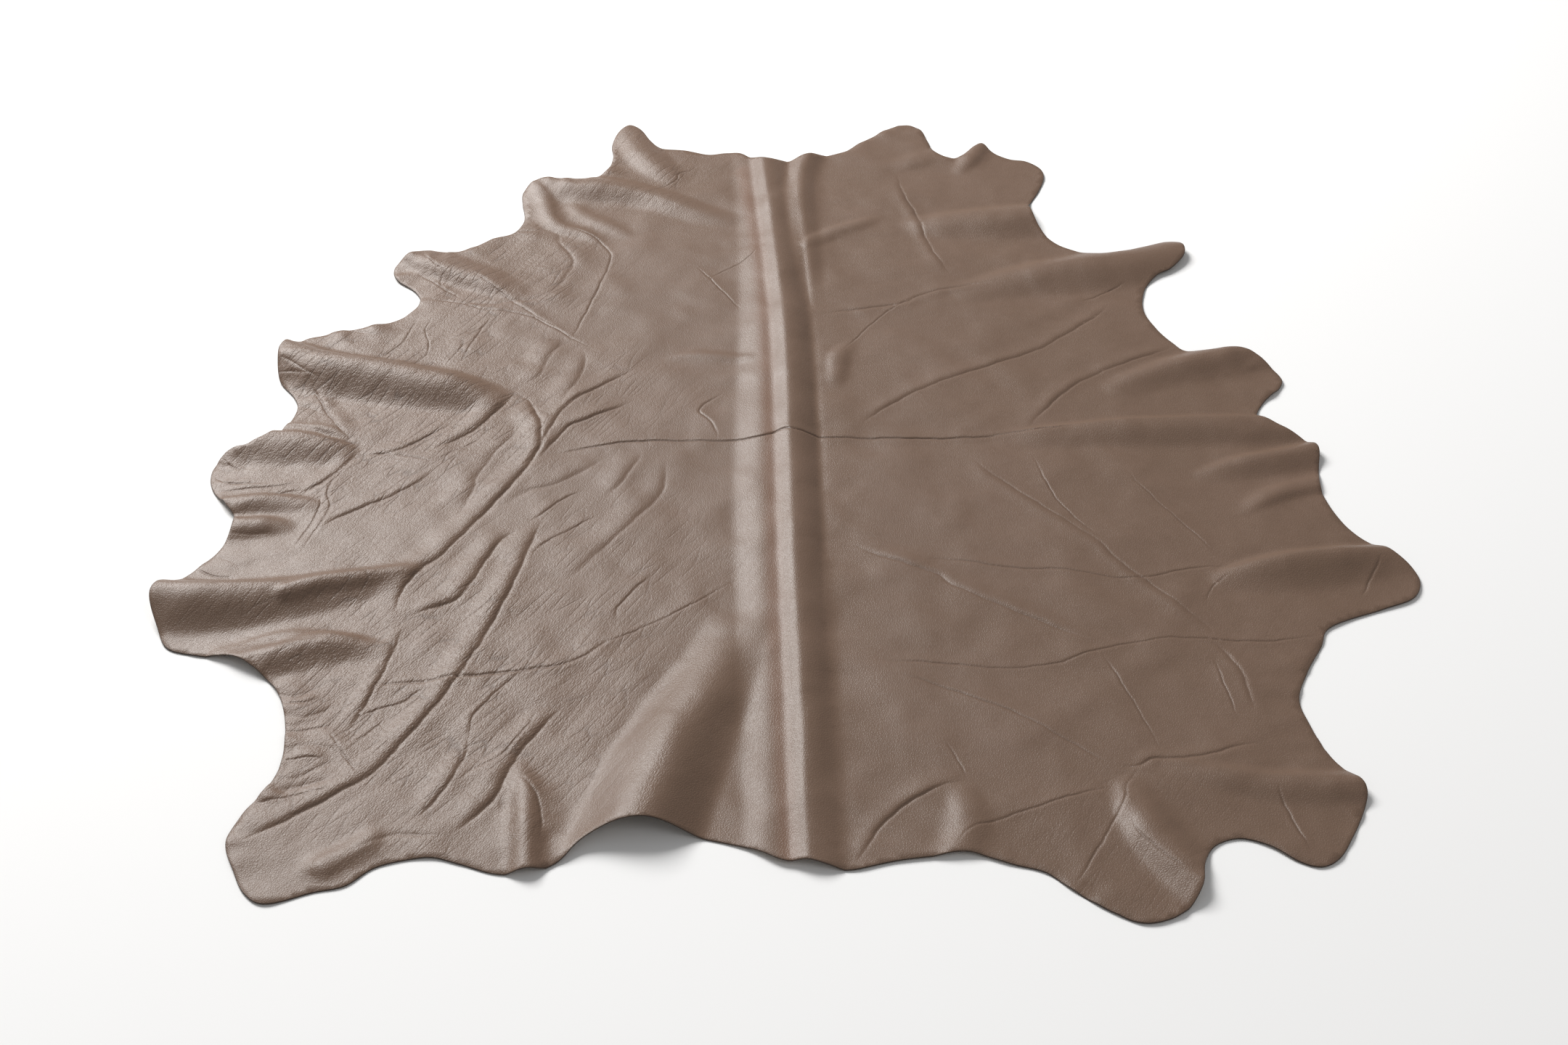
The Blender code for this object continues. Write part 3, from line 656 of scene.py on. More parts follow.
@dataclass
class CutLine:
    """The hide's outline as a smooth closed curve, centred on the origin.

    Attributes:
        step: the distance between its points.
        points: the curve's points in order, clockwise.
        shift: what was added to the outline table to centre it.
    """

    step: float = 0.006
    points: np.ndarray = field(init=False)
    shift: np.ndarray = field(init=False)

    def __post_init__(self) -> None:
        """Draws the curve through the outline table."""
        corners = np.array([point for stretch in OUTLINE.values() for point in stretch])
        curve = smooth_path(corners, closed=True)
        curve = spaced(np.vstack([curve, curve[:1]]), self.step)[:-1]
        self.shift = -(curve.min(axis=0) + curve.max(axis=0)) / 2
        self.points = curve + self.shift

    def inset(self, gap: float) -> np.ndarray:
        """Moves the curve inwards.

        Args:
            gap: how far, in metres.

        Returns:
            The moved points.
        """
        along = np.roll(self.points, -1, axis=0) - np.roll(self.points, 1, axis=0)
        along /= np.linalg.norm(along, axis=1)[:, None]
        inwards = np.stack([along[:, 1], -along[:, 0]], axis=1)
        return self.points + inwards * gap

    def holds(self, places: np.ndarray) -> np.ndarray:
        """Tells which places are inside the curve.

        Args:
            places: rows of x and y.

        Returns:
            True for each place inside.
        """
        crossings = np.zeros(len(places), int)
        order = np.argsort(places[:, 1])
        heights = places[order, 1]
        for start, end in zip(self.points, np.roll(self.points, -1, axis=0)):
            low, high = sorted((start[1], end[1]))
            first, last = np.searchsorted(heights, (low, high))
            if first == last:
                continue
            band = order[first:last]
            share = (places[band, 1] - start[1]) / (end[1] - start[1])
            crossings[band] += places[band, 0] < start[0] + share * (end[0] - start[0])
        return crossings % 2 == 1

    def reading(self, places: np.ndarray, reach: float) -> Reading:
        """Measures the places, rows of x and y, within reach of the cut edge."""
        ring = np.vstack([self.points, self.points[:1]])
        return read_path(np.column_stack([ring, np.zeros(len(ring))]), places, reach)


@dataclass
class Ground:
    """What the relief gives at some places.

    Attributes:
        places: rows of x and y.
        height: the grain side's height.
        groove: how deep in a crease each place is, from 0 to 1, which sets the painted shade there.
        rubbed: how far it stands out and is painted paler, from 0 to 1; a painted
        highlight, partly rubbed wear.
    """

    places: np.ndarray
    height: np.ndarray = field(init=False)
    groove: np.ndarray = field(init=False)
    rubbed: np.ndarray = field(init=False)

    def __post_init__(self) -> None:
        """Starts level, with no painted crease shade and no painted highlight."""
        self.height = np.zeros(len(self.places))
        self.groove = np.zeros(len(self.places))
        self.rubbed = np.zeros(len(self.places))


@dataclass
class Relief:
    """The height of the grain side over the floor.

    Attributes:
        shift: what centres the tables on the origin.
        thickness: the leather's thickness.
        least: the least height of the grain side.
        narrowest: a fold's width where it dies out, as a share of its full width.
        crest_round: how much a sharp crest is rounded off.
        crest_wear_highlight: the half-width of the painted highlight on a crest, partly rubbed wear.
        full_wear_highlight: the rise that gets a crest its full painted highlight.
        low_side: the width of a crease's side that doesn't rise, as a share of a risen one's.
        fade: how much of its length a crease takes to fade in or out, and the most it takes.
        head_start: how far it has faded in at its very end, as a share of the fading.
        sway: how far a crease wanders to either side, and the length of a wander.
        second_sway: a shorter wander's size and number of turns for each of the first's, and
            how many times further on it starts.
        pulse: how much a crease's strength varies, and the length that it varies over.
        starts: what turns a crease's first x and y into the start of its sway and its pulse.
        full_groove_shade: the depth at which a groove's painted shade is fully dark.
        wear_highlight_fade: where the painted highlight beside a crease's groove ends, in its own
        widths, and that width as a share of the distance to the highest place beside the groove.
    """

    shift: np.ndarray
    thickness: float = 0.0025
    least: float = 0.0010
    narrowest: float = 0.45
    crest_round: float = 0.0070
    crest_wear_highlight: float = 0.013
    full_wear_highlight: float = 0.045
    low_side: float = 0.35
    fade: tuple[float, float] = (0.30, 0.110)
    head_start: float = 0.08
    sway: tuple[float, float] = (0.0008, 0.075)
    second_sway: Row = (0.6, 2.3, 3.0)
    pulse: tuple[float, float] = (0.14, 0.045)
    starts: tuple[float, float] = (50.0, 40.0)
    full_groove_shade: float = 0.001
    wear_highlight_fade: tuple[float, float] = (1.4, 1.6)

    def placed(self, points: tuple) -> np.ndarray:
        """Puts a table's path in its place.

        Args:
            points: the path's rows, x and y first.

        Returns:
            The path as a smooth curve.
        """
        path = smooth_path(np.array(points, float))
        path[:, :2] += self.shift
        return path

    def add_fold(self, ground: Ground, fold: Fold) -> None:
        """Lifts the leather along one fold.

        Args:
            ground: what it is added to.
            fold: the fold.
        """
        path = self.placed(fold.crest)
        near = read_path(path, ground.places, max(fold.left, fold.right))
        rise = np.maximum(near.value, 0)
        width = self.narrowest + (1 - self.narrowest) * rise / path[:, 2].max()
        reach = np.where(near.left, fold.left, fold.right) * width
        away = np.hypot(near.distance, self.crest_round) - self.crest_round
        share = np.clip(away / reach, 0, 1)
        left, right = fold.left_flank.value, fold.right_flank.value
        top = np.where(near.left, left[0], right[0])
        foot = np.where(near.left, left[1], right[1])
        ground.height[near.which] += rise * (1 - share**top) ** foot
        # Painted highlight along the crest, partly rubbed wear: the higher the fold, the paler its crest.
        rubbed = np.exp(-((near.distance / self.crest_wear_highlight) ** 2)) * rise / self.full_wear_highlight
        ground.rubbed[near.which] = np.maximum(ground.rubbed[near.which], rubbed)

    def crease_line(self, crease: Crease) -> np.ndarray:
        """Puts a crease's path in its place and lets it wander a little.

        Args:
            crease: the crease.

        Returns:
            Rows of x, y and zero.
        """
        path = spaced(self.placed(crease.path), PATH_GAP)
        along = np.gradient(path, axis=0)
        along /= np.linalg.norm(along, axis=1)[:, None]
        run = np.arange(len(path)) * PATH_GAP
        size, length = self.sway
        share, turns, further = self.second_sway
        turn = 2 * math.pi * run / length
        start = self.starts[0] * crease.path[0][0]
        wander = size * (np.sin(turn + start) + share * np.sin(turns * turn + further * start))
        path += np.stack([-along[:, 1], along[:, 0]], axis=1) * wander[:, None]
        return np.column_stack([path, np.zeros(len(path))])

    def stretch(self, side: float | np.ndarray) -> float | np.ndarray:
        """How wide a crease's side is, as a share of one that stands at its full height."""
        return self.low_side + (1 - self.low_side) * side

    def add_crease(self, ground: Ground, crease: Crease) -> None:
        """Presses one crease into the leather.

        Args:
            ground: what it is added to.
            crease: the crease.
        """
        press = crease.press.value
        near = read_path(self.crease_line(crease), ground.places, press.reach)
        share, most = self.fade
        to_end = np.minimum(near.run, near.length - near.run) / min(share * near.length, most)
        ends = eased(to_end + self.head_start)
        size, length = self.pulse
        start = self.starts[1] * crease.path[0][1]
        ends = ends * (1 + size * np.sin(near.run / length + start))
        groove = np.exp(-((near.distance / press.width) ** 2))
        side = np.where(near.left, *crease.lean.value)
        climb = press.climb * self.stretch(side)
        reach = press.reach * self.stretch(side)
        swell = side * (1 - (1 - np.clip(near.distance / climb, 0, 1)) ** 2)
        swell *= eased((reach - near.distance) / (reach - climb))
        ground.height[near.which] += ends * (press.rise * swell - press.depth * groove)
        # Painted shade in the groove, which darkens the grain side's colour there.
        dark = ends * groove * press.depth / self.full_groove_shade
        ground.groove[near.which] = np.maximum(ground.groove[near.which], dark)
        # Painted highlight on the raised side beside the groove, partly rubbed wear.
        last, width = self.wear_highlight_fade
        pale = ends * swell * press.rub * eased(last - near.distance / (width * climb))
        ground.rubbed[near.which] = np.maximum(ground.rubbed[near.which], pale)

    def folds(self, places: np.ndarray) -> np.ndarray:
        """Adds up the main folds.

        Args:
            places: rows of x and y.

        Returns:
            Their rise at each place.
        """
        ground = Ground(places)
        for fold in MAIN_FOLDS.values():
            self.add_fold(ground, fold)
        return ground.height

    def surface(self, places: np.ndarray) -> Ground:
        """Adds up the folds, the low rolls and the creases.

        Args:
            places: rows of x and y.

        Returns:
            The grain side at those places.
        """
        ground = Ground(places)
        for fold in (MAIN_FOLDS | LOW_ROLLS).values():
            self.add_fold(ground, fold)
        for crease in ALL_CREASES:
            self.add_crease(ground, crease)
        ground.height = np.maximum(ground.height + self.thickness, self.least)
        return ground


def store(mesh: bpy.types.Mesh, **layers: np.ndarray) -> None:
    """Stores numbers on a mesh's vertices.

    Args:
        mesh: the mesh.
        layers: the numbers of each attribute, by its name.
    """
    for name, values in layers.items():
        layer = mesh.attributes.new(name, "FLOAT", "POINT")
        layer.data.foreach_set("value", values.astype(np.float32))


@dataclass
class SheetMesh:
    """Lays the mesh of the sheet over its relief.

    Attributes:
        cut_line: the outline.
        relief: the height of the grain side.
        busy: the patches of leather that are as finely meshed as the folds.
        busy_from: the weight at which a patch counts as busy.
        flat_step: the distance between points where the leather is smooth.
        fold_step: the same on the main folds.
        crease_step: the distance between points along a crease.
        swell_rows: where the rows beside a crease run: one as a share of the way up to its
            highest place, and one as a share of the way down from there.
        crest_rows: how far from a main fold's crest line its rows of points run.
        edge_room: how far points keep from the cut edge, as a share of their step.
        apart: how close points of two steps may come, as a share of the wider step.
        flesh_fold_step: the flesh side's step on the main folds.
        flesh_step: the same on its flat parts.
        flesh_room: how far the points of each keep from the cut edge.
        merge_gap: points closer than this are one.
        grain_bevel: how far the cut edge is rounded off at the grain side.
        flesh_bevel: the same at the flesh side.
        slack: how far the flesh side stays below the folds.
        edge_reach: the greatest distance from the cut edge that is stored.
    """

    cut_line: CutLine
    relief: Relief
    busy: Patches = ()
    busy_from: float = 0.5
    flat_step: float = 0.0135
    fold_step: float = 0.0090
    crease_step: float = 0.0070
    swell_rows: tuple[float, float] = (0.55, 0.35)
    crest_rows: tuple[float, ...] = (-0.009, -0.0045, 0.0, 0.0045, 0.009)
    edge_room: float = 0.5
    apart: float = 0.8
    flesh_fold_step: float = 0.0153
    flesh_step: float = 0.032
    flesh_room: tuple[float, float] = (0.0090, 0.0128)
    merge_gap: float = 0.0016
    grain_bevel: float = 0.0007
    flesh_bevel: float = 0.0004
    slack: float = 0.0002
    edge_reach: float = 0.12

    def lattice(self, step: float, gap: float) -> np.ndarray:
        """Staggered rows of points inside the outline.

        Args:
            step: the distance between points.
            gap: how far the points keep from the cut edge.

        Returns:
            The points.
        """
        low = self.cut_line.points.min(axis=0)
        high = self.cut_line.points.max(axis=0)
        row_gap = step * math.sqrt(3) / 2
        rows = np.arange(low[1], high[1], row_gap)
        columns = np.arange(low[0], high[0], step)
        across, up = np.meshgrid(columns, rows)
        across = across + (np.arange(len(rows)) % 2)[:, None] * step / 2
        return self.kept_inside(np.column_stack([across.ravel(), up.ravel()]), gap)

    def kept_inside(self, places: np.ndarray, gap: float) -> np.ndarray:
        """Drops the places outside the outline or too close to it.

        Args:
            places: rows of x and y.
            gap: how far the places keep from the cut edge.

        Returns:
            The places that are left.
        """
        places = places[self.cut_line.holds(places)]
        near = self.cut_line.reading(places, gap)
        kept = np.ones(len(places), bool)
        kept[near.which] = False
        return places[kept]

    def rows_along(self, path: np.ndarray, gaps: list[float]) -> list[np.ndarray]:
        """Rows of points along a path.

        Args:
            path: the path's points.
            gaps: how far each row is to the left of the path, or to the right if below zero.

        Returns:
            The rows.
        """
        path = spaced(path, self.crease_step)[:, :2]
        along = np.gradient(path, axis=0)
        along /= np.linalg.norm(along, axis=1)[:, None]
        to_left = np.stack([-along[:, 1], along[:, 0]], axis=1)
        return [path + to_left * gap for gap in gaps]

    def crease_gaps(self, crease: Crease) -> list[float]:
        """Tells where the rows run that follow a crease's cross-section.

        Args:
            crease: the crease.

        Returns:
            How far each row is to the left of the crease's line, or to the right if below zero.
        """
        press = crease.press.value
        up, down = self.swell_rows
        gaps = [0.0]
        for way, side in zip((1, -1), crease.lean.value):
            stretch = self.relief.stretch(side)
            climb = press.climb * stretch
            outer = climb + down * (press.reach - press.climb) * stretch
            gaps += [way * press.width, way * climb * up, way * climb, way * outer]
        return gaps

    def crease_points(self) -> np.ndarray:
        """Puts rows of points along every crease and every main fold's crest line.

        Returns:
            The points.
        """
        rows = []
        for crease in ALL_CREASES:
            rows += self.rows_along(self.relief.crease_line(crease), self.crease_gaps(crease))
        for fold in MAIN_FOLDS.values():
            rows += self.rows_along(self.relief.placed(fold.crest), self.crest_rows)
        return self.kept_inside(np.vstack(rows), self.merge_gap * 2)

    def thinned(self, places: np.ndarray, gap: float) -> np.ndarray:
        """Drops places that share a small square with an earlier one.

        Args:
            places: rows of x and y.
            gap: the side of the squares.

        Returns:
            The places that are left.
        """
        taken = set()
        kept = []
        for index, square in enumerate(map(tuple, np.round(places / gap).astype(int))):
            if square not in taken:
                taken.add(square)
                kept.append(index)
        return places[kept]

    def near_any(self, places: np.ndarray, folds: dict[str, Fold]) -> np.ndarray:
        """Tells which places are on one of the folds.

        Args:
            places: rows of x and y.
            folds: the folds.

        Returns:
            True for each place on a fold.
        """
        found = np.zeros(len(places), bool)
        for fold in folds.values():
            reach = max(fold.left, fold.right)
            found[read_path(self.relief.placed(fold.crest), places, reach).which] = True
        return found

    def clear_of(self, places: np.ndarray, others: np.ndarray, step: float) -> np.ndarray:
        """Keeps the places that have no other point close by.

        Args:
            places: rows of x and y, a step apart.
            others: the points to keep clear of.
            step: the distance between the places.

        Returns:
            The places that are left.
        """
        gap = step * self.apart
        kept = np.ones(len(places), bool)
        for shift in ((0, 0), (0.5, 0), (0, 0.5), (0.5, 0.5)):
            taken = set(map(tuple, np.floor(others / gap + shift).astype(int)))
            own = map(tuple, np.floor(places / gap + shift).astype(int))
            kept &= np.array([square not in taken for square in own])
        return places[kept]

    def grain_points(self) -> np.ndarray:
        """Spreads points over the grain side inside its edge.

        Returns:
            The points.
        """
        creased = self.thinned(self.crease_points(), self.merge_gap)
        on_folds = self.lattice(self.fold_step, self.fold_step * self.edge_room)
        busy = self.near_any(on_folds, MAIN_FOLDS | LOW_ROLLS)
        busy |= patch_weight(on_folds, self.busy) > self.busy_from
        used = np.vstack([creased, self.clear_of(on_folds[busy], creased, self.fold_step)])
        flat = self.lattice(self.flat_step, self.flat_step * self.edge_room)
        return np.vstack([used, self.clear_of(flat, used, self.flat_step)])

    def flesh_points(self) -> np.ndarray:
        """Spreads points over the flesh side inside its edge.

        Returns:
            The points.
        """
        fold_room, flat_room = self.flesh_room
        on_folds = self.lattice(self.flesh_fold_step, fold_room)
        on_folds = on_folds[self.near_any(on_folds, MAIN_FOLDS)]
        flat = self.lattice(self.flesh_step, flat_room)
        return np.vstack([on_folds, self.clear_of(flat, on_folds, self.flesh_step)])

    def faces_over(self, rim: np.ndarray, inner: np.ndarray) -> tuple[np.ndarray, list]:
        """Joins a closed rim and the points inside it with triangles.

        Args:
            rim: the rim's points in order.
            inner: the points inside.

        Returns:
            All points with the rim first, and the triangles as indices into them.
        """
        places = np.vstack([rim, inner])
        loop = [(i, (i + 1) % len(rim)) for i in range(len(rim))]
        found = delaunay_2d_cdt([tuple(p) for p in places], loop, [], 1, SAME_POINT)
        if len(found[0]) != len(places):
            log.warning("triangulation changed %d points", len(found[0]) - len(places))
        return np.array([tuple(p) for p in found[0]]), found[2]

    def build(self, name: str) -> bpy.types.Object:
        """Makes the closed sheet.

        Args:
            name: the new object's name.

        Returns:
            The object, in the scene.
        """
        outer = self.cut_line.points
        count = len(outer)
        top_rim = self.cut_line.inset(self.grain_bevel)
        low_rim = self.cut_line.inset(self.flesh_bevel)
        top, top_faces = self.faces_over(top_rim, self.grain_points())
        low, low_faces = self.faces_over(low_rim, self.flesh_points())

        ground = self.relief.surface(top)
        rim_height = self.relief.surface(outer).height
        under = np.maximum(rim_height - self.relief.thickness, 0)
        low_height = np.maximum(self.relief.folds(low) - self.slack, 0)
        low_height[:count] = under

        rings = [
            np.column_stack([top, ground.height]),
            np.column_stack([outer, rim_height - self.grain_bevel]),
            np.column_stack([outer, under + self.flesh_bevel]),
            np.column_stack([low, low_height]),
        ]
        starts = np.cumsum([0] + [len(ring) for ring in rings])
        faces = [tuple(face) for face in top_faces]
        sides = [Side.GRAIN.value] * len(faces)
        for upper, lower in zip(starts[:3], starts[1:4]):
            for i in range(count):
                j = (i + 1) % count
                faces.append((upper + i, upper + j, lower + j, lower + i))
        sides += [Side.CUT.value] * (len(faces) - len(sides))
        faces += [tuple(starts[3] + i for i in reversed(face)) for face in low_faces]
        sides += [Side.FLESH.value] * (len(faces) - len(sides))

        mesh = bpy.data.meshes.new(name)
        mesh.from_pydata(np.vstack(rings).tolist(), [], faces)
        mesh.validate()
        self.write_attributes(mesh, np.vstack(rings)[:, :2], ground, sides)
        self.turn_outwards(mesh)
        mesh.shade_smooth()
        hide = bpy.data.objects.new(name, mesh)
        bpy.context.scene.collection.objects.link(hide)
        return hide

    def write_attributes(
        self, mesh: bpy.types.Mesh, places: np.ndarray, ground: Ground, sides: list[int]
    ) -> None:
        """Stores what the relief tree and the materials read.

        Args:
            mesh: the sheet's mesh.
            places: x and y of each vertex.
            ground: the relief at the grain side's vertices, which come first.
            sides: the side of each face.
        """
        edge = self.cut_line.reading(places, self.edge_reach)
        gap = np.full(len(places), self.edge_reach)
        run = np.zeros(len(places))
        gap[edge.which] = edge.distance
        run[edge.which] = edge.run
        below = np.zeros(len(places) - len(ground.places))
        # The grain side's painted crease shade and painted highlight; the other sides get none.
        creased = np.append(ground.groove, below)
        rubbed = np.append(ground.rubbed, below)
        grain = np.append(np.ones(len(ground.places)), below)
        store(mesh, edge_gap=gap, edge_run=run, crease=creased, rubbed=rubbed, grain_side=grain)
        layer = mesh.attributes.new("side", "INT", "FACE")
        layer.data.foreach_set("value", np.array(sides, np.int32))
        plan = mesh.uv_layers.new(name="plan")
        corner = np.empty(len(mesh.loops), np.int32)
        mesh.loops.foreach_get("vertex_index", corner)
        plan.data.foreach_set("uv", places[corner].astype(np.float32).ravel())

    def turn_outwards(self, mesh: bpy.types.Mesh) -> None:
        """Points every face out of the sheet.

        Args:
            mesh: the sheet's mesh.
        """
        shell = bmesh.new()
        shell.from_mesh(mesh)
        bmesh.ops.recalc_face_normals(shell, faces=shell.faces)
        shell.to_mesh(mesh)
        shell.free()


def socket(
    tree: bpy.types.NodeTree, name: str, kind: str, value: object = None, out: bool = False
) -> str:
    """Adds a named socket to a tree's own interface.

    Args:
        tree: the tree.
        name: the socket's name.
        kind: the part of the socket's type after NodeSocket.
        value: its starting value.
        out: whether it is an output.

    Returns:
        The socket's identifier.
    """
    made = tree.interface.new_socket(
        name=name, in_out="OUTPUT" if out else "INPUT", socket_type="NodeSocket" + kind
    )
    if value is not None:
        made.default_value = value
    return made.identifier


@dataclass(frozen=True)
class Flecks:
    """How a noise looks.

    Attributes:
        scale: how many of its swells fit in a unit of its place.
        detail: how many finer layers it has.
        roughness: how strong the finer layers are.
        twist: how far it is distorted.
        limits: the values of the noise that count as 0 and as 1.
    """

    scale: float
    detail: float
    roughness: float
    twist: float = 0.0
    limits: tuple[float, float] = (0.0, 1.0)


@dataclass
class Wiring:
    """Adds nodes to a tree and joins them.

    Attributes:
        tree: the node tree.
        column: how many nodes have been added, which spreads them out on screen.
    """

    tree: bpy.types.NodeTree
    column: int = 0

    def node(self, kind: str, settings: dict | None = None, **inputs: object) -> bpy.types.Node:
        """Adds a node.

        Args:
            kind: the node's type.
            settings: the node's own properties.
            inputs: a value or an output for each input; x0, x1 and so on name inputs by place,
                and an underscore stands for a space.

        Returns:
            The node.
        """
        made = self.tree.nodes.new(kind)
        made.location = (180 * (self.column % 12), -220 * (self.column // 12))
        self.column += 1
        for name, value in (settings or {}).items():
            setattr(made, name, value)
        for name, value in inputs.items():
            if name[0] == "x" and name[1:].isdigit():
                target = made.inputs[int(name[1:])]
            else:
                target = made.inputs[name.replace("_", " ")]
            if isinstance(value, bpy.types.NodeSocket):
                self.tree.links.new(value, target)
            else:
                target.default_value = value
        return made

    def math(
        self, operation: str, first: object, second: object = 0.0, third: object = 0.0
    ) -> bpy.types.NodeSocket:
        """Adds a Math node.

        Args:
            operation: what it works out.
            first: a number or an output.
            second: a number or an output.
            third: a number or an output.

        Returns:
            The node's output.
        """
        settings = {"operation": operation}
        return self.node("ShaderNodeMath", settings, x0=first, x1=second, x2=third).outputs[0]

    def weighed(self, first: object, share: float, second: object, rest: float) -> bpy.types.NodeSocket:
        """Adds up two outputs, each times its own share."""
        return self.math("MULTIPLY_ADD", first, share, self.math("MULTIPLY", second, rest))

    def highest(self, *values: object) -> bpy.types.NodeSocket:
        """Finds the highest of some values.

        Args:
            values: numbers or outputs, two or more.

        Returns:
            The output that holds the highest.
        """
        found = values[0]
        for value in values[1:]:
            found = self.math("MAXIMUM", found, value)
        return found

    def moved(self, place: object, way: object, reach: object) -> bpy.types.NodeSocket:
        """Pushes a place about by a noise's colour.

        Args:
            place: the place.
            way: the noise's colour, whose middle doesn't push.
            reach: how far a full push goes.

        Returns:
            The moved place.
        """
        kind = "ShaderNodeVectorMath"
        centred = self.node(kind, {"operation": "SUBTRACT"}, x0=way, x1=(0.5, 0.5, 0.5)).outputs[0]
        push = self.node(kind, {"operation": "SCALE"}, x0=centred, Scale=reach).outputs[0]
        return self.node(kind, {"operation": "ADD"}, x0=place, x1=push).outputs[0]

    def ramp(
        self, value: object, limits: tuple[float, float], start: float = 0.0, end: float = 1.0
    ) -> bpy.types.NodeSocket:
        """Maps a range of values smoothly onto another.

        Args:
            value: the output to map.
            limits: the values that give start and end.
            start: the first result.
            end: the last result.

        Returns:
            The node's output.
        """
        low, high = limits
        settings = {"interpolation_type": "SMOOTHSTEP"}
        made = self.node("ShaderNodeMapRange", settings, x0=value, x1=low, x2=high, x3=start, x4=end)
        return made.outputs[0]

    def noise(
        self, place: object, look: Flecks, seed: object = None, scale: object = None
    ) -> bpy.types.Node:
        """Adds a noise.

        Args:
            place: where it is read.
            look: how it looks.
            seed: picks its pattern, if it is given.
            scale: takes the place of the look's scale, if it is given.

        Returns:
            The node.
        """
        more = {} if seed is None else {"W": seed}
        return self.node(
            "ShaderNodeTexNoise",
            {"noise_dimensions": "3D" if seed is None else "4D"},
            Vector=place,
            Scale=look.scale if scale is None else scale,
            Detail=look.detail,
            Roughness=look.roughness,
            Distortion=look.twist,
            **more,
        )

    def swells(self, place: object, look: Flecks, seed: object = None) -> bpy.types.NodeSocket:
        """Adds a noise and maps its limits onto 0 and 1."""
        return self.ramp(self.noise(place, look, seed).outputs[0], look.limits)

    def cells(self, place: object, scale: object, dimensions: str) -> bpy.types.NodeSocket:
        """Adds a pattern of cells.

        Args:
            place: where it is read.
            scale: how many cells there are in a unit of its place.
            dimensions: 2D or 3D.

        Returns:
            The distance from the edge of the cell.
        """
        settings = {"feature": "DISTANCE_TO_EDGE", "voronoi_dimensions": dimensions}
        made = self.node("ShaderNodeTexVoronoi", settings, Vector=place, Scale=scale, Randomness=1.0)
        return made.outputs["Distance"]

    def stored(self, *names: str) -> list[bpy.types.NodeSocket]:
        """Reads the mesh's own numbers.

        Args:
            names: the names of the attributes.

        Returns:
            An output for each of them.
        """
        if self.tree.type == "GEOMETRY":
            kind = "GeometryNodeInputNamedAttribute"
            return [self.node(kind, Name=name).outputs["Attribute"] for name in names]
        kind = "ShaderNodeAttribute"
        return [self.node(kind, {"attribute_name": name}).outputs["Fac"] for name in names]


